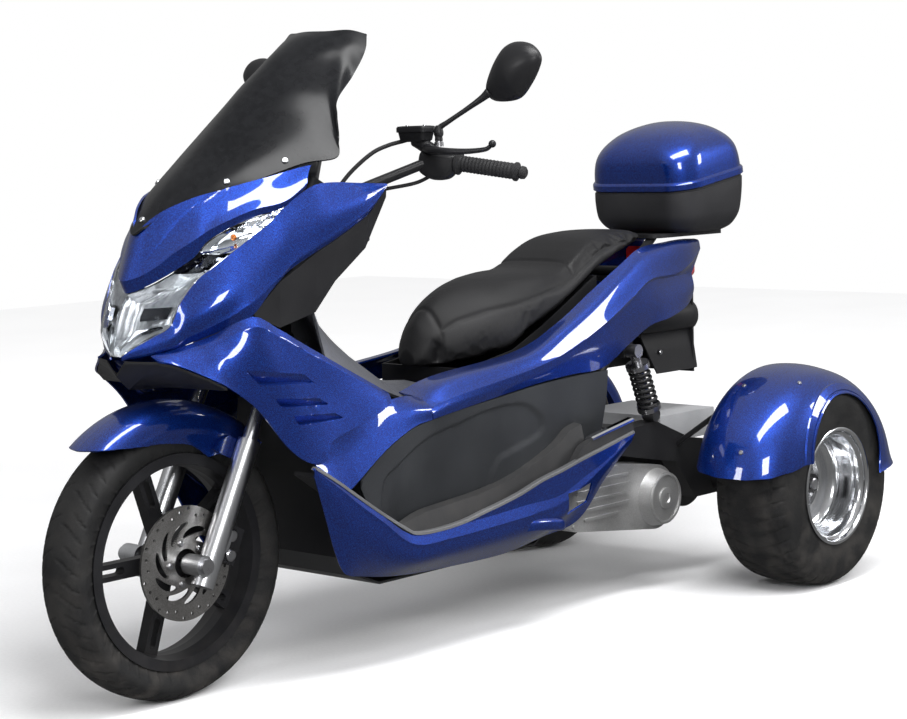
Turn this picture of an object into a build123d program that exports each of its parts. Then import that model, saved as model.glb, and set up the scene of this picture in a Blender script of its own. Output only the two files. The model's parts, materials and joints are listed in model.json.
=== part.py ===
"""A scooter-based motor trike: one steered front wheel, two wide driven rear wheels, stepped seat and top box.

Millimetres. +X is forward, +Y is the rider's left, +Z is up. The origin lies on the ground at the middle of the
trike's length and width.
"""

import math
import os

from build123d import *

# Running gear
WHEELBASE = 1660
FRONT_TYRE_R = 280
FRONT_TYRE_WIDTH = 112
FRONT_RIM_R = 217
FRONT_AXLE_X = 840
REAR_TRACK = 860
REAR_TYRE_R = 245
REAR_TYRE_WIDTH = 206
REAR_RIM_R = 142
REAR_AXLE_X = FRONT_AXLE_X - WHEELBASE

# Steering
RAKE_DEG = 27
TRAIL = 85
FORK_HALF_SPACING = 95
FORK_SLIDER_R = 23
FORK_TUBE_R = 15.5
AXLE_LEAD = 30
HEAD_TUBE_BOTTOM = 722
HEAD_TUBE_TOP = 882
STEM_R = 14
STEM_CLEARANCE = 0.4
BAR_R = 11
GRIP_R = 17

# Walls and gaps
PANEL_WALL = 5
SCREEN_WALL = 4
RUNNING_GAP = 0.3

FRONT_AXLE = Vector(FRONT_AXLE_X, 0, FRONT_TYRE_R)
SIDES = {"left": 1, "right": -1}

# The steering frame: its Z runs up the steering axis from the ground, its X forward, its Y to the left.
rake = math.radians(RAKE_DEG)
STEER = Plane(
    origin=(FRONT_AXLE_X + TRAIL, 0, 0),
    x_dir=(math.cos(rake), 0, math.sin(rake)),
    z_dir=(-math.sin(rake), 0, math.cos(rake)),
)
AXLE_IN_STEER = STEER.to_local_coords(FRONT_AXLE)
LEG_X = AXLE_IN_STEER.X - AXLE_LEAD

parts = {}


def keep(name, shape):
    """Labels a finished piece and files it under its node name."""
    shape.label = name
    parts[name] = shape


def mirrored(shape):
    """The same piece on the other side of the trike."""
    with BuildPart(mode=Mode.PRIVATE) as other:
        mirror(shape, about=Plane.XZ)
    return other.part


def keep_pair(name, left):
    """Keeps a left-hand piece and its mirror image as one node."""
    with BuildPart(mode=Mode.PRIVATE) as pair:
        add(left)
        mirror(about=Plane.XZ)
    keep(name, pair.part)


def ruled_body(sections):
    """A solid with straight walls between successive closed outlines, each a plane and its points."""
    with BuildPart(mode=Mode.PRIVATE) as body:
        for pair in zip(sections, sections[1:]):
            for plane, points in pair:
                with BuildSketch(plane):
                    with BuildLine():
                        Polyline(*points, close=True)
                    make_face()
            loft(ruled=True)
    return body.part


def skin(stations, shift):
    """A wall lofted straight between cross-sections. A station is x and its outer points (y, z), top to bottom;
    shift moves them to the inner face."""
    sections = []
    for x, outer in stations:
        inner = [(y + shift[0], z + shift[1]) for y, z in reversed(outer)]
        sections.append((Plane.YZ.offset(x), outer + inner))
    return ruled_body(sections)


def arch(stations, wall):
    """A symmetric arched shell. A station is x and its left half, outer edge (y, z) first and the middle last."""
    sections = []
    for x, half in stations:
        outer = half + [(-y, z) for y, z in reversed(half) if y > 0]
        inner = [(y - math.copysign(min(wall, abs(y) * 0.9), y), z - wall) for y, z in reversed(outer)]
        sections.append((Plane.YZ.offset(x), outer + inner))
    return ruled_body(sections)


def trimmed(shape, *cutters):
    """The largest solid left of a shape once its neighbours are taken out of it."""
    with BuildPart(mode=Mode.PRIVATE) as cut:
        add(shape)
        for cutter in cutters:
            add(cutter, mode=Mode.SUBTRACT)
    with BuildPart(mode=Mode.PRIVATE) as largest:
        add(max(cut.solids(), key=lambda solid: solid.volume))
    return largest.part


def side_plate(profile, y_from, y_to):
    """A plate cut to a side-view outline (x, z) and spanning y_from to y_to."""
    with BuildPart(mode=Mode.PRIVATE) as plate:
        with BuildSketch(Plane.XZ.offset(-y_from)):
            with BuildLine():
                Polyline(*profile, close=True)
            make_face()
        extrude(amount=-(y_to - y_from))
    return plate.part


def strip(line, thickness):
    """The outline of a bent strip: a side-view line (x, z) and the same line lowered by its thickness."""
    return line + [(x, z - thickness) for x, z in reversed(line)]


def ring(axle, profile):
    """A ring turned about an axle along Y from a half section (y, r)."""
    with BuildPart(mode=Mode.PRIVATE) as turned:
        with BuildSketch(Plane(origin=axle, x_dir=(0, 1, 0), z_dir=(1, 0, 0))):
            with BuildLine():
                Polyline(*profile, close=True)
            make_face()
        revolve(axis=Axis(axle, (0, 1, 0)))
    return turned.part


def rod(start, end, radius):
    """A straight round bar between two points."""
    run = Vector(*end) - Vector(*start)
    with BuildPart(mode=Mode.PRIVATE) as bar:
        with BuildSketch(Plane(origin=start, z_dir=run)):
            Circle(radius)
        extrude(amount=run.length)
    return bar.part


def tube(points, radii, radius):
    """A round tube along straight runs joined by arcs."""
    with BuildPart(mode=Mode.PRIVATE) as pipe:
        with BuildLine() as path:
            FilletPolyline(*points, radius=radii)
        with BuildSketch(Plane(origin=path.line @ 0, z_dir=path.line % 0)):
            Circle(radius)
        sweep()
    return pipe.part


# Front wheel: tyre, five-spoke rim and brake disc
BEAD_Y = 38
TYRE_GAP = 1
RIM_SEAT_R = FRONT_RIM_R - 14
SHOULDER_R = FRONT_TYRE_R - 34
TREAD_HALF = 20
tyre_half = [(BEAD_Y, RIM_SEAT_R), (BEAD_Y, FRONT_RIM_R + TYRE_GAP), (FRONT_TYRE_WIDTH / 2, SHOULDER_R)]
tyre_half += [(FRONT_TYRE_WIDTH / 2 - 10, FRONT_TYRE_R - 12), (TREAD_HALF, FRONT_TYRE_R)]
keep("front_tyre", ring(FRONT_AXLE, tyre_half + [(-y, r) for y, r in reversed(tyre_half)]))

HUB_R = 36
HUB_HALF = 42
AXLE_R = 10
SPOKE_COUNT = 5
SPOKE_WIDTH = 34
SPOKE_DEPTH = 26
SLOT_LENGTH = 62
SLOT_WIDTH = 14
RIM_LIP_Y = 45
RIM_WELL_R = RIM_SEAT_R - 14
FRONT_WHEEL_PLANE = Plane(origin=FRONT_AXLE, x_dir=(1, 0, 0), z_dir=(0, 1, 0))
with BuildPart() as front_rim:
    with BuildSketch(Plane(origin=FRONT_AXLE, x_dir=(0, 1, 0), z_dir=(1, 0, 0))):
        with BuildLine():
            half = [(BEAD_Y + RUNNING_GAP, RIM_SEAT_R - RUNNING_GAP), (BEAD_Y + RUNNING_GAP, FRONT_RIM_R)]
            half += [(RIM_LIP_Y, FRONT_RIM_R), (RIM_LIP_Y, RIM_SEAT_R - 8), (SPOKE_DEPTH / 2, RIM_WELL_R)]
            Polyline(*half, *[(-y, r) for y, r in reversed(half)], close=True)
        make_face()
    revolve(axis=Axis(FRONT_AXLE, (0, 1, 0)))
    with BuildSketch(FRONT_WHEEL_PLANE.offset(-HUB_HALF)):
        Circle(HUB_R)
    extrude(amount=2 * HUB_HALF)
    with BuildSketch(FRONT_WHEEL_PLANE.offset(-SPOKE_DEPTH / 2)):
        spoke_reach = RIM_WELL_R + 4
        with PolarLocations(spoke_reach / 2, SPOKE_COUNT):
            Rectangle(spoke_reach, SPOKE_WIDTH)
        with PolarLocations(RIM_WELL_R - 12 - SLOT_LENGTH / 2, SPOKE_COUNT):
            SlotOverall(SLOT_LENGTH, SLOT_WIDTH, mode=Mode.SUBTRACT)
    extrude(amount=SPOKE_DEPTH)
    with BuildSketch(FRONT_WHEEL_PLANE.offset(-HUB_HALF)):
        Circle(AXLE_R + RUNNING_GAP)
    extrude(amount=2 * HUB_HALF, mode=Mode.SUBTRACT)
keep("front_rim", front_rim.part)

DISC_Y = 58
DISC_R = 115
DISC_WALL = 5
WINDOW_COUNT = 10
DRILL_R = 3.6
DRILL_CIRCLES = (97, 103, 109)
with BuildPart() as brake_disc:
    with BuildSketch(FRONT_WHEEL_PLANE.offset(DISC_Y)):
        Circle(DISC_R)
        Circle(HUB_R - 8, mode=Mode.SUBTRACT)
        with PolarLocations(66, WINDOW_COUNT):
            SlotOverall(30, 11, rotation=48, mode=Mode.SUBTRACT)
        for step, circle_r in enumerate(DRILL_CIRCLES):
            with PolarLocations(circle_r, WINDOW_COUNT, start_angle=step * 360 / WINDOW_COUNT / len(DRILL_CIRCLES)):
                Circle(DRILL_R, mode=Mode.SUBTRACT)
    extrude(amount=DISC_WALL)
    with BuildSketch(FRONT_WHEEL_PLANE.offset(HUB_HALF)):
        Circle(HUB_R)
        Circle(HUB_R - 8, mode=Mode.SUBTRACT)
    extrude(amount=DISC_Y - HUB_HALF)
keep("brake_disc", brake_disc.part)

# Rear wheels: wide tyres on deep polished rims
REAR_BEAD_Y = 96
REAR_SEAT_R = REAR_RIM_R - 12
REAR_LIP_Y = 102
REAR_BORE_R = 24
for side, sign in SIDES.items():
    hub = Vector(REAR_AXLE_X, sign * REAR_TRACK / 2, REAR_TYRE_R)
    edge = REAR_TYRE_WIDTH / 2
    half = [(REAR_BEAD_Y, REAR_SEAT_R), (REAR_BEAD_Y, REAR_RIM_R + TYRE_GAP), (edge, REAR_TYRE_R - 55)]
    half += [(edge - 12, REAR_TYRE_R - 15), (edge - 48, REAR_TYRE_R)]
    keep(f"rear_tyre_{side}", ring(hub, half + [(-y, r) for y, r in reversed(half)]))

    # Outboard is sign * y, so that the deep dish faces away from the trike on both sides.
    dish = [(REAR_BORE_R, -8), (62, -8), (70, 4), (112, 20), (112, 60)]
    outer = [(REAR_SEAT_R - 8, 92), (REAR_SEAT_R - 8, REAR_LIP_Y), (REAR_RIM_R, REAR_LIP_Y)]
    outer += [(REAR_RIM_R, REAR_BEAD_Y + RUNNING_GAP), (REAR_SEAT_R - RUNNING_GAP, REAR_BEAD_Y + RUNNING_GAP)]
    inner = [(REAR_SEAT_R - RUNNING_GAP, -REAR_BEAD_Y - RUNNING_GAP), (REAR_RIM_R, -REAR_BEAD_Y - RUNNING_GAP)]
    inner += [(REAR_RIM_R, -REAR_LIP_Y), (REAR_SEAT_R - 8, -REAR_LIP_Y), (REAR_SEAT_R - 8, -30)]
    back = [(104, -14), (66, -22), (REAR_BORE_R, -22)]
    profile = [(sign * out, r) for r, out in dish + outer + inner + back]
    keep(f"rear_rim_{side}", ring(hub, profile))


# Steering: fork, crown with its column, handlebar and what it carries
SLIDER_BOTTOM = AXLE_IN_STEER.Z - 36
SLIDER_TOP = 560
CROWN_BOTTOM = 700
CROWN_TOP = 716
COLUMN_TOP = 1112
LUG_HALF = 24
BOSS_Z = 535
GUARD_HALF = 66
with BuildPart() as fork_legs:
    for sign in SIDES.values():
        with BuildSketch(STEER.offset(SLIDER_BOTTOM)):
            with Locations((LEG_X, sign * FORK_HALF_SPACING)):
                Circle(FORK_SLIDER_R)
        extrude(amount=SLIDER_TOP - SLIDER_BOTTOM)
        with BuildSketch(STEER.offset(SLIDER_TOP)):
            with Locations((LEG_X, sign * FORK_HALF_SPACING)):
                Circle(FORK_TUBE_R)
        extrude(amount=CROWN_BOTTOM - SLIDER_TOP)
        with BuildSketch(FRONT_WHEEL_PLANE.offset(sign * FORK_HALF_SPACING - LUG_HALF)):
            Circle(AXLE_R + 11)
        extrude(amount=2 * LUG_HALF)
        boss_length = FORK_HALF_SPACING - GUARD_HALF - RUNNING_GAP
        with Locations(STEER * Location((LEG_X, sign * (FORK_HALF_SPACING - boss_length / 2), BOSS_Z))):
            Box(24, boss_length, 24)
    with Locations(STEER * Location((LEG_X - 19, FORK_HALF_SPACING - 3, AXLE_IN_STEER.Z + 67))):
        Box(28, 16, 40)
    with BuildSketch(FRONT_WHEEL_PLANE.offset(-2 * FORK_HALF_SPACING)):
        Circle(AXLE_R + RUNNING_GAP)
    extrude(amount=4 * FORK_HALF_SPACING, mode=Mode.SUBTRACT)
keep("fork_legs", fork_legs.part)

AXLE_HEAD_R = 15
with BuildPart() as front_axle:
    axle_half = FORK_HALF_SPACING + LUG_HALF
    with BuildSketch(FRONT_WHEEL_PLANE.offset(-axle_half)):
        Circle(AXLE_R)
    extrude(amount=2 * axle_half)
    for sign in SIDES.values():
        with BuildSketch(FRONT_WHEEL_PLANE.offset(sign * axle_half)):
            Circle(AXLE_HEAD_R)
        extrude(amount=sign * 10)
keep("front_axle", front_axle.part)

with BuildPart() as fork_crown:
    with BuildSketch(STEER.offset(CROWN_BOTTOM)):
        with Locations((LEG_X / 2, 0)):
            RectangleRounded(LEG_X + 2 * FORK_SLIDER_R, 2 * (FORK_HALF_SPACING + FORK_SLIDER_R), 12)
    extrude(amount=CROWN_TOP - CROWN_BOTTOM)
    with BuildSketch(STEER.offset(CROWN_TOP)):
        Circle(STEM_R)
    extrude(amount=COLUMN_TOP - CROWN_TOP)
keep("fork_crown", fork_crown.part)

BAR_OFFSET = -43
BAR_RISE = 15
BAR_BEND = (226, 195, 1058)
BAR_END = (172, 378, 1029)
bar_mid = STEER.from_local_coords(Vector(BAR_OFFSET, 0, COLUMN_TOP + BAR_RISE))
bar_line = [(BAR_END[0], -BAR_END[1], BAR_END[2]), (BAR_BEND[0], -BAR_BEND[1], BAR_BEND[2])]
bar_line += [(bar_mid.X, -62, bar_mid.Z), (bar_mid.X, 62, bar_mid.Z), BAR_BEND, BAR_END]
handlebar = tube(bar_line, 34, BAR_R)
with BuildPart() as bar_clamp:
    with BuildSketch(STEER.offset(COLUMN_TOP)):
        with Locations((BAR_OFFSET / 2, 0)):
            RectangleRounded(abs(BAR_OFFSET) + 44, 62, 10)
    extrude(amount=BAR_RISE + BAR_R + 8)
    add(handlebar)
keep("handlebar", bar_clamp.part)


def on_bar(y):
    """The point of the left bar end at a given y."""
    share = (y - BAR_BEND[1]) / (BAR_END[1] - BAR_BEND[1])
    return tuple(a + share * (b - a) for a, b in zip(BAR_BEND, BAR_END))


with BuildPart() as grips:
    add(rod(on_bar(250), on_bar(378), GRIP_R))
    add(rod(on_bar(250), on_bar(378), BAR_R + RUNNING_GAP), mode=Mode.SUBTRACT)
    mirror(about=Plane.XZ)
keep("grips", grips.part)

SWITCH_R = 25
with BuildPart() as controls:
    add(rod(on_bar(214), on_bar(248), SWITCH_R))
    with Locations((235, 191, 1098)):
        Box(56, 70, 44)
    add(tube([(250, 214, 1072), (262, 250, 1076), (244, 395, 1060)], 20, 7))
    add(rod(on_bar(212), on_bar(260), BAR_R + RUNNING_GAP), mode=Mode.SUBTRACT)
    mirror(about=Plane.XZ)
keep("hand_controls", controls.part)

MIRROR_CENTRE = (370, 1236)
MIRROR_BACK_X = 160
mirror_outline = [(18, 61), (51, 53), (73, 29), (66, 2), (44, -30), (16, -56), (-24, -62), (-58, -57), (-72, -35)]
mirror_outline += [(-56, 5), (-32, 39), (-10, 56)]
# Depth ahead of the glass and scale of the outline there
mirror_rows = [(0, 0.92), (8, 1), (24, 0.86), (36, 0.5)]
mirror_sections = []
for depth, scale in mirror_rows:
    loop = [(MIRROR_CENTRE[0] + y * scale, MIRROR_CENTRE[1] + z * scale) for y, z in mirror_outline]
    mirror_sections.append((Plane.YZ.offset(MIRROR_BACK_X + depth), loop))
with BuildPart() as mirrors:
    add(ruled_body(mirror_sections))
    add(tube([(222, 205, 1120.3), (222, 205, 1136), (196, 284, 1172), (180, 326, 1200)], 12, 6))
    mirror(about=Plane.XZ)
keep("mirrors", mirrors.part)

CALIPER_GAP = 5
with BuildPart() as caliper:
    caliper_y = (DISC_Y - 17 + FORK_HALF_SPACING - 11) / 2
    caliper_width = FORK_HALF_SPACING - 11 - (DISC_Y - 17)
    with Locations(STEER * Location((LEG_X - 48, caliper_y, AXLE_IN_STEER.Z + 67))):
        Box(50, caliper_width, 76)
    with BuildSketch(FRONT_WHEEL_PLANE.offset(DISC_Y - CALIPER_GAP)):
        Circle(DISC_R + CALIPER_GAP)
    extrude(amount=DISC_WALL + 2 * CALIPER_GAP, mode=Mode.SUBTRACT)
keep("front_caliper", caliper.part)


def part_ring(axle, outer, wall_points, from_deg, to_deg):
    """A shell swept about an axle along Y between two angles above forward, from a section (y, r)."""
    start = math.radians(from_deg)
    with BuildPart(mode=Mode.PRIVATE) as swept:
        with BuildSketch(Plane(origin=axle, x_dir=(0, 1, 0), z_dir=(math.sin(start), 0, -math.cos(start)))):
            with BuildLine():
                Polyline(*outer, *wall_points, close=True)
            make_face()
        revolve(axis=Axis(axle, (0, -1, 0)), revolution_arc=to_deg - from_deg)
    return swept.part


GUARD_WALL = 4
GUARD_R = FRONT_TYRE_R + 42
GUARD_FROM = 50
GUARD_TO = 140
guard_half = [(GUARD_HALF, 222), (GUARD_HALF, 286), (52, 310), (24, GUARD_R - 2), (0, GUARD_R)]
guard_outer = guard_half + [(-y, r) for y, r in reversed(guard_half) if y > 0]
guard_inner = [(y - math.copysign(min(GUARD_WALL, abs(y)), y), r - GUARD_WALL * (r > 222)) for y, r in guard_outer]
guard_skirt = [(250, 290), (205, 255), (86, 247), (-20, 226), (-62, 204), (-136, 204), (-215, 232), (-330, 160)]
guard_skirt += [(-330, 60), (250, 60)]
with BuildPart() as mudguard:
    add(part_ring(FRONT_AXLE, guard_outer, list(reversed(guard_inner)), GUARD_FROM, GUARD_TO))
    with BuildSketch(FRONT_WHEEL_PLANE.offset(-2 * GUARD_HALF)):
        with BuildLine():
            Polyline(*[(x, -z) for x, z in guard_skirt], close=True)
        make_face()
    extrude(amount=4 * GUARD_HALF, mode=Mode.SUBTRACT)
    fork_tab = [(767, 500), (724, 476), (669, 486), (723, 524)]
    add(side_plate(fork_tab, GUARD_HALF - GUARD_WALL, GUARD_HALF))
    add(side_plate(fork_tab, -GUARD_HALF, GUARD_WALL - GUARD_HALF))
keep("front_mudguard", mudguard.part)

# Frame: head tube, two underbone rails and their cross tubes
RAIL_R = 16
RAIL_BEND = 40
FLOOR_Z = 182
RAIL_Z = FLOOR_Z + RAIL_R + RUNNING_GAP
rail = [(512, 24, 700), (446, 50, 560), (440, 70, 330), (390, 92, RAIL_Z), (-60, 112, RAIL_Z)]
rail += [(-150, 140, 330), (-330, 152, 500), (-660, 118, 782)]
cross_tubes = [(370, 92, RAIL_Z), (-40, 110, RAIL_Z), (-266, 147, 439.5), (-640, 118, 765)]
panel_stays = [((446, 50, 560), (446, 204.3, 560)), ((-400, 145, 560), (-400, 181, 590))]
with BuildPart() as main_frame:
    with BuildSketch(STEER.offset(HEAD_TUBE_BOTTOM)):
        Circle(STEM_R + 12)
        Circle(STEM_R + STEM_CLEARANCE, mode=Mode.SUBTRACT)
    extrude(amount=HEAD_TUBE_TOP - HEAD_TUBE_BOTTOM)
    add(tube(rail, RAIL_BEND, RAIL_R))
    add(mirrored(tube(rail, RAIL_BEND, RAIL_R)))
    for x, y, z in cross_tubes:
        add(rod((x, -y, z), (x, y, z), RAIL_R - 4))
    for start, end in panel_stays:
        stay = rod(start, end, 7)
        add(stay)
        add(mirrored(stay))
    for sign in SIDES.values():
        shock_lug = [(-468, 646), (-506, 646), (-503, 570), (-470, 570)]
        add(side_plate(shock_lug, *sorted((sign * 136, sign * 158))))
    with Locations((536, 0, 708)):
        Box(60, 70, 50)
    nose_arm = [(535, 738), (730, 790), (739.7, 790), (739.7, 832), (728, 832), (535, 770)]
    add(side_plate(nose_arm, -18, 18))
    with BuildSketch(STEER.offset(HEAD_TUBE_BOTTOM)):
        Circle(STEM_R + STEM_CLEARANCE)
    extrude(amount=HEAD_TUBE_TOP - HEAD_TUBE_BOTTOM, mode=Mode.SUBTRACT)
keep("main_frame", main_frame.part)

# Nose: lens, lamp housing, beak, side cowls and leg shields
lens_rows = [
    (700, (955, 0), (953, 12), (948, 26)),
    (745, (963, 0), (948, 62), (915, 95)),
    (784, (956, 0), (930, 70), (890, 120)),
    (822, (930, 0), (900, 72), (853, 133)),
    (856, (866, 82), (845, 120), (822, 147)),
    (904, (810, 112), (790, 142), (766, 168)),
    (946, (742, 150), (720, 167), (698, 181)),
    (972, (684, 178), (674, 184), (664, 189)),
]
LENS_WALL = 4
lens_sections = []
for z, *plan in lens_rows:
    inner = [(x - LENS_WALL, max(y - LENS_WALL, 0)) for x, y in reversed(plan)]
    lens_sections.append((Plane.XY.offset(z), plan + inner))
with BuildPart() as lens:
    add(ruled_body(lens_sections))
    mirror(about=Plane.XZ)
keep("headlamp_lens", lens.part)

housing_rows = [(928, 16, 716, 792), (880, 78, 722, 838), (800, 104, 752, 872), (740, 96, 776, 880)]
housing_sections = []
for x, half_width, low, high in housing_rows:
    corners = [(half_width, low + 12), (half_width * 0.7, high), (-half_width * 0.7, high)]
    corners += [(-half_width, low + 12), (-half_width * 0.5, low), (half_width * 0.5, low)]
    housing_sections.append((Plane.YZ.offset(x), corners))
keep("headlamp_housing", ruled_body(housing_sections))

beak_rows = [
    (924, (13, 825), (6, 836)),
    (885, (64, 847), (14, 938)),
    (865, (82, 858), (24, 962)),
    (829, (106, 878), (56, 984)),
    (787, (125, 920), (86, 1002)),
    (721, (161, 959), (126, 1021)),
    (663, (189, 978), (156, 1037)),
    (600, (198, 1013), (184, 1054)),
]
beak = trimmed(arch([(x, [low, top]) for x, low, top in beak_rows], PANEL_WALL), lens.part)
keep("front_beak", beak)

cowl_rows = [
    (944, (30, 699), (29, 694), (28, 690)),
    (915, (97, 743), (86, 718), (70, 700)),
    (890, (121, 782), (112, 742), (92, 708)),
    (853, (135, 820), (148, 768), (122, 722)),
    (822, (149, 854), (164, 790), (148, 736)),
    (766, (170, 902), (190, 830), (198, 769)),
    (698, (183, 944), (204, 890), (210, 832)),
    (664, (191, 974), (208, 920), (212, 856)),
    (600, (198, 1011), (212, 950), (214, 884)),
    (541, (197, 1020), (214, 965), (216, 909)),
    (453, (203, 1016), (216, 985), (218, 952)),
    (386, (206, 1013), (208, 1010), (209, 1007)),
]
cowl = skin([(x, list(points)) for x, *points in cowl_rows], (-PANEL_WALL, -2))
cowl = trimmed(cowl, lens.part, beak)
keep_pair("front_cowls", cowl)

shield_rows = [
    (915, (70, 699), (80, 694), (92, 690)),
    (890, (92, 707), (108, 694), (124, 680)),
    (853, (122, 721), (152, 690), (182, 652)),
    (822, (148, 735), (178, 690), (194, 632)),
    (766, (198, 768), (210, 690), (207, 586)),
    (700, (206, 740), (217, 630), (219, 505)),
    (655, (206, 716), (218, 600), (232, 470)),
    (596, (206, 683), (215, 570), (236, 446)),
    (525, (205, 646), (213, 540), (241, 418)),
    (470, (203, 619), (214, 540), (237, 451)),
    (413, (200, 592), (215, 540), (232, 479)),
    (340, (196, 560), (218, 535), (227, 505)),
    (286, (190, 557), (222, 536), (226, 512)),
]
LOUVRE_FLOOR_Y = 206
# Louvre corners (x, z): lower front, upper front, upper rear, lower rear
louvre_rows = [
    ((761, 634), (794, 666), (650, 646), (619, 625)),
    ((712, 586), (731, 605), (612, 594), (585, 578)),
    ((671, 546), (688, 566), (572, 560), (548, 547)),
]
louvre_back = [(806, 684), (640, 664), (540, 574), (530, 540), (672, 532), (722, 572), (790, 632)]
with BuildPart() as shield_body:
    add(trimmed(skin([(x, list(points)) for x, *points in shield_rows], (-PANEL_WALL, 0)), cowl))
    add(side_plate(louvre_back, LOUVRE_FLOOR_Y - PANEL_WALL, LOUVRE_FLOOR_Y + 4))
    for corners in louvre_rows:
        add(side_plate(corners, LOUVRE_FLOOR_Y, LOUVRE_FLOOR_Y + 40), mode=Mode.SUBTRACT)
leg_shield = shield_body.part
keep_pair("leg_shields", leg_shield)

# Black panel that closes the nose from below
under_rows = [
    (944, (27, 689), (0, 662)),
    (915, (86, 688), (0, 634)),
    (890, (118, 678), (0, 632)),
    (853, (172, 652), (0, 630)),
    (826, (187, 634), (0, 630)),
]
under_sections = []
for x, (edge_y, edge_z), middle in under_rows:
    top = [(edge_y, edge_z), middle, (-edge_y, edge_z)]
    under_sections.append((Plane.YZ.offset(x), top + [(y, z - PANEL_WALL) for y, z in reversed(top)]))
nose_panel = ruled_body(under_sections)
keep("nose_under_panel", trimmed(nose_panel, leg_shield, mirrored(leg_shield), cowl, mirrored(cowl), lens.part))

# Rider's side of the front: inner shield with its side wings, dash deck and tunnel
INNER_HALF = 196
INNER_WALL = 8
wing_rows = [
    (760, (200, 774), (200, 768)),
    (698, (209, 830), (205, 741)),
    (600, (213, 882), (205, 764)),
    (541, (215, 907), (204, 822)),
    (453, (217, 950), (206, 884)),
    (388, (208, 1005), (206, 985)),
]
inner_line = [(436, 907), (533, 843), (578, 795)]
with BuildPart() as inner_shield:
    add(side_plate(strip(inner_line, INNER_WALL), -INNER_HALF - 6, INNER_HALF + 6))
    wing = skin([(x, [top, low]) for x, top, low in wing_rows], (-INNER_WALL, 0))
    add(wing)
    add(mirrored(wing))
    with BuildSketch(STEER.offset(HEAD_TUBE_TOP - 40)):
        Circle(STEM_R + 20)
    extrude(amount=240, mode=Mode.SUBTRACT)
    for neighbour in (cowl, leg_shield):
        add(neighbour, mode=Mode.SUBTRACT)
        add(mirrored(neighbour), mode=Mode.SUBTRACT)
keep("inner_shield", inner_shield.part)

deck_line = [(640, 1037.8), (600, 1026), (560, 995), (482, 974)]
with BuildPart() as dash:
    add(side_plate(strip(deck_line, 6), -150, 150))
    with Locations((540, 0, 1004)):
        Box(90, 150, 40)
keep("instrument_panel", dash.part)

tunnel_rows = [
    (573, (203, 667), (165, 784), (60, 790), (0, 794)),
    (524, (203, 644), (130, 729), (62, 800), (0, 838)),
    (470, (201, 617), (120, 690), (58, 740), (0, 812)),
    (414, (198, 590), (110, 654), (50, 668), (0, 690)),
    (296, (150, 556), (95, 586), (45, 592), (0, 594)),
    (190, (122, 538), (84, 562), (42, 570), (0, 574)),
    (130, (118, 528), (82, 556), (40, 565), (0, 569)),
]
with BuildPart() as tunnel:
    add(arch([(x, list(points)) for x, *points in tunnel_rows], PANEL_WALL))
    with BuildSketch(STEER.offset(HEAD_TUBE_TOP + 3)):
        Circle(STEM_R + 8)
    extrude(amount=200, mode=Mode.SUBTRACT)
    add(inner_shield.part, mode=Mode.SUBTRACT)
    add(leg_shield, mode=Mode.SUBTRACT)
    add(mirrored(leg_shield), mode=Mode.SUBTRACT)

# Distance up the ridge from the tip, then (y, depth behind the ridge line) from the middle out to the edge
SCREEN_TIP = Vector(885, 0, 945)
SCREEN_TOP = Vector(398, 0, 1332)
screen_rows = [
    (14, (0, -1), (8, 0), (15, 1), (21, 4)),
    (60, (0, -4), (18, -2), (34, 5), (49, 12)),
    (110, (0, -6), (28, -2), (58, 10), (84, 21)),
    (211, (0, -8), (43, 2), (92, 28), (142, 58)),
    (296, (0, -11), (49, 3), (114, 40), (182, 88)),
    (332, (0, -13), (51, 2), (120, 45), (197, 110)),
    (363, (0, -15), (51, 0), (124, 48), (206, 124)),
    (388, (0, -17), (51, -1), (125, 49), (196, 110)),
    (421, (0, -18), (51, -2), (124, 47), (182, 83)),
    (456, (0, -18), (50, -3), (118, 42), (167, 68)),
    (516, (0, -18), (46, -3), (108, 36), (146, 70)),
    (584, (0, -11), (42, -1), (96, 32), (132, 69)),
    (632, (0, 0), (36, 5), (92, 28), (131, 54)),
]
ridge = (SCREEN_TOP - SCREEN_TIP).normalized()
screen_sections = []
for along, *half in screen_rows:
    outer = [*reversed(half), *[(-y, depth) for y, depth in half[1:]]]
    inner = [(y * 0.97, depth + SCREEN_WALL) for y, depth in reversed(outer)]
    station = Plane(origin=SCREEN_TIP + ridge * along, x_dir=(0, 1, 0), z_dir=ridge)
    screen_sections.append((station, outer + inner))
with BuildPart() as windscreen:
    add(trimmed(ruled_body(screen_sections), beak))
keep("windscreen", windscreen.part)

# Front inner arch and belly
arch_line = [(486, 560), (500, 430), (512, 250)]
BELLY_HALF = 177.6
belly_line = [(510, 252), (470, 206), (412, FLOOR_Z), (-95, FLOOR_Z), (-140, 204)]
with BuildPart() as under_tray:
    add(side_plate([*arch_line, *[(x - 6, z) for x, z in reversed(arch_line)]], -159, 159))
    add(side_plate(strip(belly_line, PANEL_WALL), -BELLY_HALF, BELLY_HALF))
keep("under_tray", under_tray.part)

# Footboards, skirts and the dark side panels
board_line = [(630, 444), (380, 275), (-95, 291), (-290, 360), (-372, 396)]
BOARD_INNER = 160
BOARD_OUTER = 235.5
with BuildPart() as board:
    add(side_plate(strip(board_line[:3], 8), BOARD_INNER, BOARD_OUTER))
    add(side_plate(strip(board_line[2:], 8), BOARD_INNER + 42, BOARD_OUTER))
keep_pair("footboards", board.part)

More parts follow.
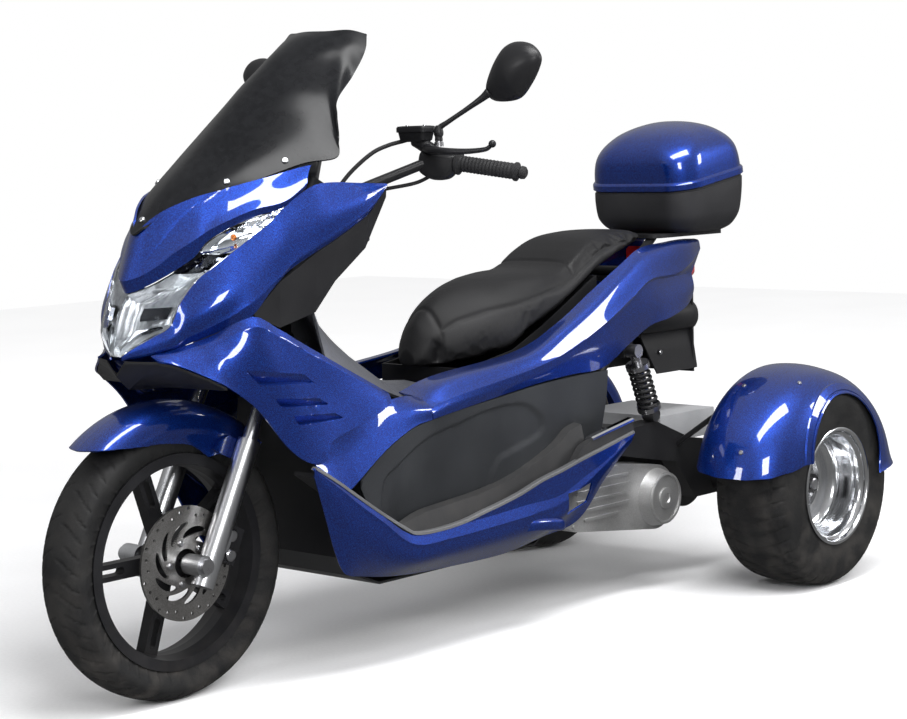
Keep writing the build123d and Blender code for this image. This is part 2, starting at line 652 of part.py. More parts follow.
skirt_rows = [
    (650, (240, 458), (239, 450), (238, 440)),
    (573, (243, 408), (240, 350), (212, 272)),
    (536, (245, 382), (240, 300), (202, 223)),
    (470, (248, 338), (242, 262), (192, 205)),
    (380, (250, 280), (244, 228), (188, 190)),
    (258, (251, 280), (243, 222), (184, 181)),
    (27, (251, 290), (243, 226), (182, 176)),
    (-103, (249, 299), (244, 240), (190, 190)),
    (-200, (248, 332), (245, 290), (238, 228)),
    (-289, (247, 366), (245, 345), (240, 316)),
    (-382, (247, 408), (246, 398), (245, 386)),
]
strut_window = [(-134, 298), (-224, 313), (-216, 266), (-134, 249)]
with BuildPart() as skirt:
    add(skin([(x, list(points)) for x, *points in skirt_rows], (-4, 0)))
    add(side_plate(strut_window, BOARD_OUTER + 1, 260), mode=Mode.SUBTRACT)
keep_pair("side_skirts", skirt.part)

panel_rows = [
    (516, (240, 416), (238, 408), (234, 400)),
    (470, (236, 449), (230, 400), (224, 331)),
    (413, (231, 477), (222, 400), (205, 292)),
    (340, (226, 503), (212, 420), (178, 271)),
    (208, (220, 521), (200, 420), (168, 276)),
    (61, (213, 534), (196, 430), (168, 281)),
    (-92, (206, 547), (192, 440), (168, 286)),
    (-254, (198, 553), (188, 470), (170, 374)),
    (-360, (194, 553), (188, 490), (172, 412)),
]
side_panel = skin([(x, list(points)) for x, *points in panel_rows], (-PANEL_WALL, 0))
side_panel = trimmed(side_panel, leg_shield, board.part)

# Tail covers, tail lamp, plate bracket and carrier
tail_rows = [
    (284, (128, 566), (188, 556), (222, 535), (226, 514)),
    (189, (142, 593), (190, 586), (222, 552), (221, 524)),
    (-69, (154, 622), (196, 615), (216, 580), (209, 550)),
    (-210, (160, 672), (194, 662), (212, 610), (203, 558)),
    (-340, (158, 735), (188, 716), (205, 650), (196, 558)),
    (-460, (154, 790), (175, 768), (192, 700), (183, 606)),
    (-560, (140, 826), (158, 808), (176, 742), (168, 640)),
    (-700, (112, 834), (138, 826), (152, 768), (140, 680)),
    (-830, (84, 836), (108, 830), (120, 790), (112, 706)),
    (-886, (74, 832), (84, 826), (90, 806), (86, 790)),
]
tail_cover = skin([(x, list(points)) for x, *points in tail_rows], (-PANEL_WALL, -3))
tail_cover = trimmed(tail_cover, leg_shield)
keep_pair("tail_covers", tail_cover)
keep_pair("side_panels", trimmed(side_panel, tail_cover))
with BuildPart() as tunnel_cover:
    add(tunnel.part)
    add(tail_cover, mode=Mode.SUBTRACT)
    add(mirrored(tail_cover), mode=Mode.SUBTRACT)
keep("tunnel_cover", tunnel_cover.part)

lamp_rows = [(-820, 96, 720, 815), (-880, 76, 738, 812), (-905, 50, 748, 802)]
with BuildPart() as tail_lamp:
    for x, half_width, low, high in lamp_rows:
        with BuildSketch(Plane.YZ.offset(x)):
            with Locations((0, (low + high) / 2)):
                RectangleRounded(2 * half_width, high - low, 14)
    loft(ruled=True)
keep("tail_lamp", tail_lamp.part)

PLATE_X = -846
PLATE_HALF = 95
PLATE_BOLT_SPACING = 146
PLATE_BOLT_RISE = 40
with BuildPart() as plate_bracket:
    shelf = [(-622, 752.7), (-658, 752.7), (-812, 719.7), (PLATE_X, 719.7), (PLATE_X, 700), (-812, 708)]
    add(side_plate([*shelf, (-652, 740), (-622, 740)], -82, 82))
    plate = [(PLATE_X, 712), (PLATE_X + 6, 712), (PLATE_X + 6, 498), (PLATE_X, 498)]
    add(side_plate(plate, -PLATE_HALF, PLATE_HALF))
    with Locations(Plane(origin=(PLATE_X, 0, 560), x_dir=(0, -1, 0), z_dir=(-1, 0, 0))):
        with GridLocations(PLATE_BOLT_SPACING, PLATE_BOLT_RISE, 2, 2):
            Hole(3.5, depth=20)
keep("plate_bracket", plate_bracket.part)

RACK_TOP = 852
with BuildPart() as carrier:
    with BuildSketch(Plane.XY.offset(RACK_TOP - 10)):
        with Locations((-850, 0)):
            RectangleRounded(300, 180, 30)
            with GridLocations(90, 0, 3, 1):
                SlotOverall(110, 34, rotation=90, mode=Mode.SUBTRACT)
    extrude(amount=10)
    for sign in SIDES.values():
        rack_leg = [(-632, 777.3), (-648, 777.3), (-730, 842), (-715, 846), (-632, 786)]
        add(side_plate(rack_leg, *sorted((sign * 52, sign * 70))))
keep("carrier_rack", carrier.part)

# Top box: a tub on the carrier and a hinged lid, both hollow
BOX_X = -877
BOX_LENGTH = 302
BOX_WIDTH = 328
BOX_WALL = 4
SEAM_Z = 978
SEAM_TILT = 9
SEAM = Plane(origin=(BOX_X, 0, SEAM_Z), x_dir=(1, 0, 0), z_dir=(0, 0, 1)).rotated((0, SEAM_TILT, 0))
# Plane, length, width and corner radius of each level
tub_rows = [
    (Plane((BOX_X, 0, RACK_TOP)), BOX_LENGTH - 86, BOX_WIDTH - 92, 40),
    (Plane((BOX_X, 0, RACK_TOP + 40)), BOX_LENGTH - 28, BOX_WIDTH - 30, 60),
    (SEAM, BOX_LENGTH, BOX_WIDTH, 76),
]
lid_rows = [
    (SEAM.offset(RUNNING_GAP), BOX_LENGTH, BOX_WIDTH, 76),
    (SEAM.offset(60), BOX_LENGTH - 8, BOX_WIDTH - 10, 80),
    (SEAM.offset(114), BOX_LENGTH - 64, BOX_WIDTH - 70, 80),
    (SEAM.offset(152), BOX_LENGTH - 160, BOX_WIDTH - 170, 60),
]


def rounded_loft(rows, less):
    """A body lofted through rounded rectangles (plane, length, width, corner), each drawn in by less all round."""
    with BuildPart(mode=Mode.PRIVATE) as body:
        for plane, length, width, corner in rows:
            with BuildSketch(plane):
                RectangleRounded(length - 2 * less, width - 2 * less, corner - less)
        loft(ruled=True)
    return body.part


with BuildPart() as top_box_base:
    add(rounded_loft(tub_rows, 0))
    cavity = [(plane.offset(BOX_WALL if i == 0 else 0), *size) for i, (plane, *size) in enumerate(tub_rows)]
    add(rounded_loft(cavity, BOX_WALL), mode=Mode.SUBTRACT)
keep("top_box_base", top_box_base.part)
with BuildPart() as top_box_lid:
    add(rounded_loft(lid_rows, 0))
    last = len(lid_rows) - 1
    cavity = [(plane.offset(-BOX_WALL if i == last else 0), *size) for i, (plane, *size) in enumerate(lid_rows)]
    add(rounded_loft(cavity, BOX_WALL), mode=Mode.SUBTRACT)
keep("top_box_lid", top_box_lid.part)

# Seat and the bin under it
# Station, half width, underside, top, and how full the section stands over its widest level
seat_rows = [
    (132, 28, 597, 642, 1.6),
    (90, 62, 594, 714, 1.5),
    (30, 106, 600, 758, 1.5),
    (-100, 146, 622, 783, 2.1),
    (-206, 154, 668, 787, 2.6),
    (-316, 152, 724, 788, 2.8),
    (-380, 150, 758, 828, 2.8),
    (-440, 144, 786, 855, 2.8),
    (-560, 130, 828, 864, 2.6),
    (-640, 108, 838, 861, 2.4),
]
SEAT_WAIST = 0.3
seat_sections = []
for x, half_width, low, high, fullness in seat_rows:
    waist = low + SEAT_WAIST * (high - low)
    left = [(half_width * 0.96, low)]
    for share in (0, 0.45, 0.8):
        left.append((half_width * (1 - share**fullness) ** (1 / fullness), waist + share * (high - waist)))
    left.append((half_width * 0.2, high))
    seat_sections.append((Plane.YZ.offset(x), left + [(-y, z) for y, z in reversed(left)]))
PAN_HALF = 130
PAN_WALL = 8
pan_line = [(80, 594.4), *[(x, low) for x, half_width, low, high, fullness in seat_rows if -220 < x < 70]]
with BuildPart() as seat:
    add(ruled_body(seat_sections))
    add(side_plate(strip([(x, z + PAN_WALL) for x, z in pan_line], PAN_WALL), -PAN_HALF, PAN_HALF))
keep("seat", seat.part)

BIN_HALF = 126
BIN_WALL = 4
BIN_FLOOR = 452
SEAT_GAP = 0.6
bin_rim = [(x, low - SEAT_GAP) for x, half_width, low, high, fullness in seat_rows if -410 < x < 70]
bin_outline = [(70, BIN_FLOOR), (70, 594), *bin_rim, (-410, 771), (-410, BIN_FLOOR)]
bin_space = [(70 - BIN_WALL, BIN_FLOOR + BIN_WALL), (70 - BIN_WALL, 900), (-410 + BIN_WALL, 900)]
bin_space += [(-410 + BIN_WALL, BIN_FLOOR + BIN_WALL)]
with BuildPart() as seat_bin:
    add(side_plate(bin_outline, -BIN_HALF, BIN_HALF))
    add(side_plate(bin_space, -BIN_HALF + BIN_WALL, BIN_HALF - BIN_WALL), mode=Mode.SUBTRACT)
keep("seat_bin", seat_bin.part)

# Engine, belt case, silencer
with BuildPart() as engine:
    with Locations((-300, 0, 300)):
        Box(330, 236, 200)
    chamfer(engine.edges().filter_by(Axis.Y), 30)
keep("engine_block", engine.part)

CASE_Y = 118.3
CASE_DEPTH = 78
DOME = (-536, 228, 70)
RIB_RISE = 5
RIB_WIDTH = 7
# Middle x, z and length of the ribs on the case's face
case_ribs = [(-320, 322, 130), (-330, 300, 190), (-330, 278, 200), (-330, 256, 200), (-330, 234, 190), (-320, 212, 130)]
with BuildPart() as belt_case:
    with BuildSketch(Plane.XZ.offset(-CASE_Y)):
        with Locations((-240, 268)):
            Circle(80)
        with Locations((DOME[0], DOME[1])):
            Circle(DOME[2] + 8)
        make_hull()
    extrude(amount=-CASE_DEPTH)
    with BuildSketch(Plane.XZ.offset(-CASE_Y - CASE_DEPTH)):
        with Locations((DOME[0], DOME[1])):
            Circle(DOME[2])
    extrude(amount=-30, taper=14)
    for x, z, length in case_ribs:
        with Locations((x, CASE_Y + CASE_DEPTH + RIB_RISE / 2, z)):
            Box(length, RIB_RISE, RIB_WIDTH)
keep("belt_case", belt_case.part)

with BuildPart() as silencer:
    add(rod((-400, -250, 280), (-690, -250, 310), 54))
    add(tube([(-300, -118.3, 250), (-300, -190, 250), (-380, -246, 266), (-410, -250, 281)], 30, 19))
keep("silencer", silencer.part)

# Rear frame: beams, axle housing, axle box, shocks and fenders
BEAM_Y = (137, 183)
beam_outline = [(-380, 396), (-560, 409), (-700, 352), (-900, 320), (-900, 200), (-720, 200), (-640, 300)]
beam_outline += [(-540, 318), (-380, 350)]
REAR_AXLE = Vector(REAR_AXLE_X, 0, REAR_TYRE_R)
AXLE_END = REAR_TRACK / 2 - 30
with BuildPart() as rear_frame:
    add(side_plate(beam_outline, *BEAM_Y))
    add(side_plate(beam_outline, -BEAM_Y[1], -BEAM_Y[0]))
    with BuildSketch(Plane(origin=REAR_AXLE, x_dir=(1, 0, 0), z_dir=(0, 1, 0)).offset(-310)):
        Circle(36)
    extrude(amount=620)
    with BuildSketch(Plane(origin=REAR_AXLE, x_dir=(1, 0, 0), z_dir=(0, 1, 0)).offset(-80)):
        Circle(92)
    extrude(amount=160)
    with BuildSketch(Plane(origin=REAR_AXLE, x_dir=(1, 0, 0), z_dir=(0, 1, 0)).offset(-AXLE_END - 60)):
        Circle(REAR_BORE_R - RUNNING_GAP)
    extrude(amount=2 * AXLE_END + 120)
    with Locations((-505, 0, 376)):
        Box(60, 2 * BEAM_Y[0], 40)
keep("rear_frame", rear_frame.part)

with BuildPart() as axle_box:
    with Locations((-765, 0, 371.3)):
        Box(230, 260, 68)
keep("axle_box", axle_box.part)

SHOCK_Y = 174.4
SHOCK_TOP = (-486, 586)
SHOCK_FOOT = (-552, 425)
SPRING_R = 23
SPRING_SEATS = (0.12, 0.77)
shock_run = Vector(SHOCK_TOP[0] - SHOCK_FOOT[0], 0, SHOCK_TOP[1] - SHOCK_FOOT[1])
with BuildPart() as shocks:
    add(rod((SHOCK_FOOT[0], SHOCK_Y, SHOCK_FOOT[1]), (SHOCK_TOP[0], SHOCK_Y, SHOCK_TOP[1]), 12))
    for x, z in (SHOCK_TOP, SHOCK_FOOT):
        add(rod((x, SHOCK_Y - 16, z), (x, SHOCK_Y + 16, z), 16))
    for share in SPRING_SEATS:
        seat_x = SHOCK_FOOT[0] + shock_run.X * share
        seat_z = SHOCK_FOOT[1] + shock_run.Z * share
        with BuildSketch(Plane(origin=(seat_x, SHOCK_Y, seat_z), z_dir=shock_run)):
            Circle(SPRING_R + 6)
        extrude(amount=6, both=True)
    mirror(about=Plane.XZ)
keep("shock_dampers", shocks.part)

FENDER_R = 302
FENDER_FROM = 11
FENDER_TO = 174
fender_outer = [(316, 252), (316, 278), (326, 294), (346, FENDER_R), (430, 297), (480, 282), (520, 252)]
fender_outer += [(540, 214), (547, 170), (547, 140)]
fender_inner = [(320, 252), (320, 277), (329, 290), (347, FENDER_R - 4), (428, 293), (477, 278), (517, 249)]
fender_inner += [(536, 212), (543, 170), (543, 140)]
OPENING = (-895, 275, 188)
with BuildPart() as fender:
    axle_at = Vector(REAR_AXLE_X, 0, REAR_TYRE_R)
    add(part_ring(axle_at, fender_outer, list(reversed(fender_inner)), FENDER_FROM, FENDER_TO))
    with BuildSketch(Plane.XZ.offset(-450)):
        with Locations((OPENING[0], OPENING[1])):
            Circle(OPENING[2])
    extrude(amount=-150, mode=Mode.SUBTRACT)
keep_pair("rear_fenders", fender.part)

with BuildPart() as stays:
    stay_start = BEAM_Y[1] + RUNNING_GAP
    stay_span = fender_outer[0][0] - RUNNING_GAP - stay_start
    for (x, z), (end_x, end_z) in (((-650, 345), (-635, 430)), ((-880, 300), (-970, 460))):
        with BuildSketch(Plane.XZ.offset(-stay_start)):
            with Locations((x, z)):
                Circle(8)
        run = Vector(end_x - x, stay_span, end_z - z)
        extrude(amount=run.length, dir=run)
    mirror(about=Plane.XZ)
keep("fender_stays", stays.part)

os.makedirs("parts", exist_ok=True)
for name, shape in parts.items():
    export_step(shape, f"parts/{name}.step")
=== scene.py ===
import json
import math
import bpy
import numpy as np
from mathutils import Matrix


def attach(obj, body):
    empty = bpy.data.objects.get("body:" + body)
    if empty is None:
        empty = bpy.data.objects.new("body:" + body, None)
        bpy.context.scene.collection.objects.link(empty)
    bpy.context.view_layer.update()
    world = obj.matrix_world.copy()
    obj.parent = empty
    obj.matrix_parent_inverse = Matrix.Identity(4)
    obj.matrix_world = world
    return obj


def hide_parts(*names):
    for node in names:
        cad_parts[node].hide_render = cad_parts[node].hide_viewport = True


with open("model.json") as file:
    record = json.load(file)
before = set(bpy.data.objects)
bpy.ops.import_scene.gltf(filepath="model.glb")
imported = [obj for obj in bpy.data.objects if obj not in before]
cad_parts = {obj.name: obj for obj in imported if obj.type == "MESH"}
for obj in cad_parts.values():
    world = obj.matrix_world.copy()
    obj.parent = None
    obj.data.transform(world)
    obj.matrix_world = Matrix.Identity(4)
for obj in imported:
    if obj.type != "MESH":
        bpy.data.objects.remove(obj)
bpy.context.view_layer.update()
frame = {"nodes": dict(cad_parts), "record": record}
nodes = frame["nodes"]
mm = 0.001
print("frame loaded:", len(nodes), "nodes")


# Small mesh tools, all on whole arrays

def gridFaces(rows, cols, closeRows=False, closeCols=False):
    # quads between neighbouring rows and columns of a rows x cols grid, wrapping where closed
    r = np.arange(rows if closeRows else rows - 1)[:, None]
    c = np.arange(cols if closeCols else cols - 1)[None, :]
    r2, c2 = (r + 1) % rows, (c + 1) % cols
    quads = np.stack([r * cols + c, r * cols + c2, r2 * cols + c2, r2 * cols + c], axis=-1)
    return quads.reshape(-1, 4)


def throughPoints(table, count, closed=False):
    # Catmull-Rom: each output row is the cubic that passes through the table's rows, at even steps of the row
    # number
    table = np.asarray(table, float)
    n = len(table)
    t = np.linspace(0, n if closed else n - 1, count, endpoint=not closed)
    i = np.minimum(np.floor(t).astype(int), n - 1 if closed else n - 2)
    f = (t - i).reshape((-1,) + (1,) * (table.ndim - 1))
    pick = (lambda k: table[k % n]) if closed else (lambda k: table[np.clip(k, 0, n - 1)])
    a, b, c, d = pick(i - 1), pick(i), pick(i + 1), pick(i + 2)
    if not closed:
        a = np.where((i == 0).reshape(f.shape), 2 * b - c, a)
        d = np.where((i == n - 2).reshape(f.shape), 2 * c - b, d)
    return 0.5 * (2 * b + (c - a) * f + (2 * a - 5 * b + 4 * c - d) * f**2 + (3 * b - a - 3 * c + d) * f**3)


def smoothSheet(control, rows, cols):
    # a surface through a control net, cubic along both directions
    along = throughPoints(control, rows)
    return throughPoints(np.swapaxes(along, 0, 1), cols).swapaxes(0, 1)


def creasedSheet(control, rows, facets):
    # cubic along the stations; across them each facet (first column, last column, steps) is a cubic of its
    # own,
    # so that neighbouring facets meet in a crease
    along = throughPoints(control, rows)
    strips = [throughPoints(along[:, a:b + 1].swapaxes(0, 1), n + 1).swapaxes(0, 1) for a, b, n in facets]
    return np.concatenate([strips[0]] + [s[:, 1:] for s in strips[1:]], axis=1)


def stations(table):
    # rows of (x, (y, z), (y, z), ...) in millimetres as points in metres
    return np.array([[(x, y, z) for y, z in points] for x, *points in table], float) * mm


def sheetMesh(grid):
    # a grid of points as vertices and quads
    return grid.reshape(-1, 3), gridFaces(*grid.shape[:2])


def acrossCentre(control):
    # control rows from the centre plane outwards, continued to the other side so that the middle stays smooth
    return np.concatenate([control[:0:-1] * (1, -1, 1), control])


def mirrored(verts, faces):
    # the same mesh on both sides of the centre plane, with the copy's faces turned to keep pointing out
    other = verts * (1, -1, 1)
    return np.concatenate([verts, other]), np.concatenate([faces, faces[:, ::-1] + len(verts)])


def joined(*meshes):
    # several (verts, faces) pairs as one
    starts = np.cumsum([0] + [len(v) for v, f in meshes[:-1]])
    return np.concatenate([v for v, f in meshes]), np.concatenate([f + s for (v, f),
        s in zip(meshes, starts)])


def welded(verts, faces):
    # points that coincide to a hundredth of a millimetre become one
    _, first, back = np.unique(np.round(verts * 1e5).astype(int), axis=0, return_index=True,
        return_inverse=True)
    return verts[first], back.reshape(-1)[faces]


def borderEdges(verts, faces):
    # edges that only one face uses, in that face's direction
    edges = np.stack([faces, np.roll(faces, -1, axis=1)], axis=-1).reshape(-1, 2)
    n = len(verts)
    return edges[~np.isin(edges[:, 1] * n + edges[:, 0], edges[:, 0] * n + edges[:, 1])]


def pointNormals(verts, faces):
    # face normals from the quads' diagonals, summed at the points they share
    a, b, c, d = (verts[faces[:, k]] for k in range(4))
    normals = np.zeros_like(verts)
    np.add.at(normals, faces.reshape(-1), np.repeat(np.cross(c - a, d - b), 4, axis=0))
    return normals / np.maximum(np.linalg.norm(normals, axis=1, keepdims=True), 1e-12)


def shell(verts, faces, wall):
    # a closed wall: the outer skin, the same skin moved in along its normals, and a rim along every border
    n = len(verts)
    inner = verts - pointNormals(verts, faces) * wall
    edge = borderEdges(verts, faces)
    rim = np.stack([edge[:, 1], edge[:, 0], edge[:, 0] + n, edge[:, 1] + n], axis=-1)
    return np.concatenate([verts, inner]), np.concatenate([faces, faces[:, ::-1] + n, rim])


def nearestOnOutline(points, outline):
    # the closest point of a closed outline for each of many points in the same plane
    a, b = outline, np.roll(outline, -1, axis=0)
    run = b - a
    share = np.einsum("pok,ok->po", points[:, None] - a, run) / np.sum(run * run, axis=1)
    on = a + np.clip(share, 0, 1)[..., None] * run
    gap = np.linalg.norm(points[:, None] - on, axis=2)
    return on[np.arange(len(points)), np.argmin(gap, axis=1)]


def insideOutline(points, outline):
    # even-odd rule: how often a line to the right crosses the outline
    a, b = outline, np.roll(outline, -1, axis=0)
    u, v = points[:, None, 0], points[:, None, 1]
    crosses = (a[:, 1] > v) != (b[:, 1] > v)
    slope = np.where(b[:, 1] == a[:, 1], 1, b[:, 1] - a[:, 1])
    return np.sum(crosses & (u < a[:, 0] + (v - a[:, 1]) * (b[:, 0] - a[:, 0]) / slope), axis=1) % 2 == 1


def cutOut(verts, faces, outline, axes=(0, 2), where=None):
    # faces inside an outline go, and the new border is drawn onto the outline
    outline = np.asarray(outline, float)
    centre = verts[faces].mean(axis=1)
    gone = insideOutline(centre[:, axes], outline)
    if where is not None:
        gone &= where(centre)
    before = np.unique(borderEdges(verts, faces))
    left = faces[~gone]
    fresh = np.setdiff1d(np.unique(borderEdges(verts, left)), before)
    moved = verts.copy()
    moved[np.ix_(fresh, axes)] = nearestOnOutline(verts[fresh][:, axes], outline)
    used, index = np.unique(left, return_inverse=True)
    return moved[used], index.reshape(left.shape)


def ringCap(n):
    # quads that close a ring of an even number of points
    i = np.arange(n // 2 - 1)
    return np.stack([i, i + 1, n - 2 - i, n - 1 - i], axis=-1)


def tubeFaces(rows, sides):
    # quads round a tube of closed rings, with a cap on either end
    ends = ringCap(sides)
    return np.concatenate([gridFaces(rows, sides, closeCols=True), ends[:, ::-1], ends + (rows - 1) * sides])


def tubeAlong(points, radius, samples=40, sides=12, smooth=True):
    # a round tube on a curve through points; radius is one number or one for each point
    points = np.asarray(points, float) * mm
    radii = np.broadcast_to(np.asarray(radius, float) * mm, (len(points),))
    both = np.column_stack([points, radii])
    both = throughPoints(both, samples) if smooth else both
    line, radii = both[:, :3], both[:, 3]
    run = np.gradient(line, axis=0)
    run /= np.linalg.norm(run, axis=1, keepdims=True)
    span = np.abs(line[-1] - line[0])
    across = np.cross(run, np.eye(3)[np.argmin(span)])
    across /= np.linalg.norm(across, axis=1, keepdims=True)
    other = np.cross(run, across)
    turn = np.linspace(0, 2 * np.pi, sides, endpoint=False)[None, :, None]
    rings = line[:, None] + radii[:, None,
        None] * (np.cos(turn) * across[:, None] + np.sin(turn) * other[:, None])
    n = len(line)
    cap = ringCap(sides)
    faces = np.concatenate([gridFaces(n, sides, closeCols=True)[:, ::-1], cap,
        cap[:, ::-1] + (n - 1) * sides])
    return rings.reshape(-1, 3), faces[:, ::-1]


def turned(profile, centre, sides, axis=(0, 1, 0), closed=False):
    # a profile of (along, radius) in millimetres turned about an axis; open profiles are capped at both ends
    profile = np.asarray(profile, float) * mm
    axis = np.asarray(axis, float) / np.linalg.norm(axis)
    first = np.cross(axis, np.eye(3)[np.argmin(np.abs(axis))])
    first /= np.linalg.norm(first)
    second = np.cross(axis, first)
    turn = np.linspace(0, 2 * np.pi, sides, endpoint=False)[None, :, None]
    circle = np.cos(turn) * first + np.sin(turn) * second
    rings = np.asarray(centre, float) * mm + profile[:, None, :1] * axis + profile[:, None, 1:] * circle
    n = len(profile)
    faces = gridFaces(n, sides, closeRows=closed, closeCols=True)
    if not closed:
        cap = ringCap(sides)
        faces = np.concatenate([faces, cap[:, ::-1], cap + (n - 1) * sides])
    return rings.reshape(-1, 3), faces


def prism(outline, low, high):
    # a plate with a side-view outline of (x, z), from one y to another, in millimetres
    loop = np.array(outline, float)
    n = len(loop)
    ring = np.stack([np.insert(loop, 1, low, axis=1), np.insert(loop, 1, high, axis=1)]) * mm
    faces = tubeFaces(2, n)
    area = np.sum(loop[:, 0] * np.roll(loop[:, 1], -1) - loop[:, 1] * np.roll(loop[:, 0], -1))
    return ring.reshape(-1, 3), faces if area < 0 else faces[:, ::-1]


def podAlong(origin, axis, sections, count=30, sides=28):
    # rounded-square rings along an axis, from rows of (along, sideways, up, half width, half height) in
    # millimetres:
    # each ring is the cosine and sine of a turn drawn towards their signs
    rows = throughPoints(np.array(sections, float), count)
    axis = np.asarray(axis, float) / np.linalg.norm(axis)
    side = np.cross((0, 0, 1), axis)
    side /= np.linalg.norm(side)
    up = np.cross(axis, side)
    turn = np.linspace(0, 2 * np.pi, sides, endpoint=False)
    loop = np.stack([np.sign(np.cos(turn)) * np.abs(np.cos(turn)) ** 0.6,
        np.sign(np.sin(turn)) * np.abs(np.sin(turn)) ** 0.6], axis=-1)
    centre = np.asarray(origin, float) + rows[:, :1] * axis + rows[:, 1:2] * side + rows[:, 2:3] * up
    rings = centre[:, None] + rows[:, None, 3:4] * loop[None, :, :1] * side + rows[:, None, 4:5] * loop[None,
        :, 1:] * up
    faces = tubeFaces(count, sides)
    return rings.reshape(-1, 3) * mm, faces


def stripAlong(points, profile, samples=80):
    # a moulding: a profile of (inwards, up) in millimetres carried along a path that runs from front to rear
    line, profile = throughPoints(np.array(points, float), samples), np.array(profile, float)
    run = np.gradient(line, axis=0)
    run /= np.linalg.norm(run, axis=1, keepdims=True)
    inward = np.array([0.0, -1.0, 0.0])
    up = np.cross(run, inward)
    rings = line[:, None] + profile[None, :, :1] * inward + profile[None, :, 1:] * up[:, None]
    m = len(profile)
    faces = tubeFaces(samples, m)
    return rings.reshape(-1, 3) * mm, faces


def studs(places, direction, radius, height, sides=12):
    # domed bolt heads, all at once: three rings each and a cap
    places = np.asarray(places, float)[:, None]
    verts, faces = turned([(-1, radius), (height * 0.5, radius), (height, radius * 0.72)], (0, 0, 0), sides,
        direction)
    count = len(places)
    starts = np.arange(count)[:, None, None] * len(verts)
    return (places * mm + verts[None]).reshape(-1, 3), (faces[None] + starts).reshape(-1, 4)


def piece(name, mesh, material, body, replaces=(), sharp=32):
    # an object at the origin with its place in its mesh, in metres; edges sharper than the angle stay crisp
    verts, faces = mesh
    data = bpy.data.meshes.new(name)
    data.from_pydata(np.asarray(verts).tolist(), [], np.asarray(faces).tolist())
    data.polygons.foreach_set("use_smooth", np.full(len(data.polygons), True))
    data.update()
    data.set_sharp_from_angle(angle=math.radians(sharp))
    obj = bpy.data.objects.new(name, data)
    bpy.context.collection.objects.link(obj)
    obj.data.materials.append(material)
    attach(obj, body)
    if replaces:
        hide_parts(*replaces)
    return obj


def modify(obj, kind, **values):
    # a modifier with its values set by name
    mod = obj.modifiers.new(kind.title(), kind)
    for key, value in values.items():
        setattr(mod, key, value)
    return mod


# Finishes: shared node groups first, then the materials that place them

def node(tree, kind, sockets=None, **settings):
    # a shader node with its settings, and its inputs by name or number as a value or another node's output
    made = tree.nodes.new("ShaderNode" + kind)
    for key, value in settings.items():
        setattr(made, key, value)
    for socket, value in (sockets or {}).items():
        if isinstance(value, bpy.types.NodeSocket):
            tree.links.new(value, made.inputs[socket])
        else:
            made.inputs[socket].default_value = value
    return made


def shaderGroup(name, inputs, outputs):
    # an empty group with named sockets: None makes a vector, a tuple a colour, a number a value
    tree = bpy.data.node_groups.new(name, "ShaderNodeTree")
    for socket, value in inputs.items():
        kind = "Vector" if value is None else "Color" if isinstance(value, tuple) else "Float"
        made = tree.interface.new_socket(socket, in_out="INPUT", socket_type="NodeSocket" + kind)
        if value is not None:
            made.default_value = value
    for socket in outputs:
        tree.interface.new_socket(socket, in_out="OUTPUT",
            socket_type="NodeSocketColor" if socket == "Color" else "NodeSocketFloat")
    given, out = tree.nodes.new("NodeGroupInput").outputs, tree.nodes.new("NodeGroupOutput").inputs
    return tree, given, lambda **ends: [tree.links.new(end, out[socket]) for socket, end in ends.items()]


grey = (0.5, 0.5, 0.5, 1.0)

# mottle: fine and broad noise together choose between two colours, the broad one alone between two
# roughnesses
mottle, given, put = shaderGroup("mottle",
    {"Vector": None, "Fine": 400.0, "Broad": 8.0, "Dark": grey, "Light": grey, "Smooth": 0.3, "Dull": 0.5},
    ("Color", "Roughness", "Height"))
fine = node(mottle, "TexNoise", {"Vector": given["Vector"], "Scale": given["Fine"], "Detail": 4.0})
broad = node(mottle, "TexNoise", {"Vector": given["Vector"], "Scale": given["Broad"], "Detail": 3.0})
total = node(mottle, "Math", {0: fine.outputs[0], 1: broad.outputs[0]}, operation="ADD")
share = node(mottle, "MapRange", {"Value": total.outputs[0], "From Min": 0.72, "From Max": 1.28})
tint = node(mottle, "Mix", {0: share.outputs[0], 6: given["Dark"], 7: given["Light"]}, data_type="RGBA")
dullness = node(mottle, "MapRange",
    {"Value": broad.outputs[0], "From Min": 0.3, "From Max": 0.7, "To Min": given["Smooth"],
    "To Max": given["Dull"]})
put(Color=tint.outputs[2], Roughness=dullness.outputs[0], Height=fine.outputs[0])

# flake: each small cell of a Voronoi pattern is one metal flake with its own brightness; a slow noise is the
# lacquer's ripple
flake, given, put = shaderGroup("flake", {"Vector": None, "Cells": 1500.0, "Deep": grey, "Bright": grey},
    ("Color", "Roughness", "Height"))
cells = node(flake, "TexVoronoi", {"Vector": given["Vector"], "Scale": given["Cells"]})
sparkle = node(flake, "SeparateColor", {"Color": cells.outputs["Color"]})
lit = node(flake, "Math", {0: sparkle.outputs[0], 1: 2.2}, operation="POWER")
ripple = node(flake, "TexNoise", {"Vector": given["Vector"], "Scale": 160.0, "Detail": 1.0})
cloud = node(flake, "TexNoise", {"Vector": given["Vector"], "Scale": 5.0, "Detail": 2.0})
paint = node(flake, "Mix", {0: lit.outputs[0], 6: given["Deep"], 7: given["Bright"]}, data_type="RGBA")
gloss = node(flake, "MapRange",
    {"Value": cloud.outputs[0], "From Min": 0.3, "From Max": 0.7, "To Min": 0.36, "To Max": 0.44})
put(Color=paint.outputs[2], Roughness=gloss.outputs[0], Height=ripple.outputs[0])

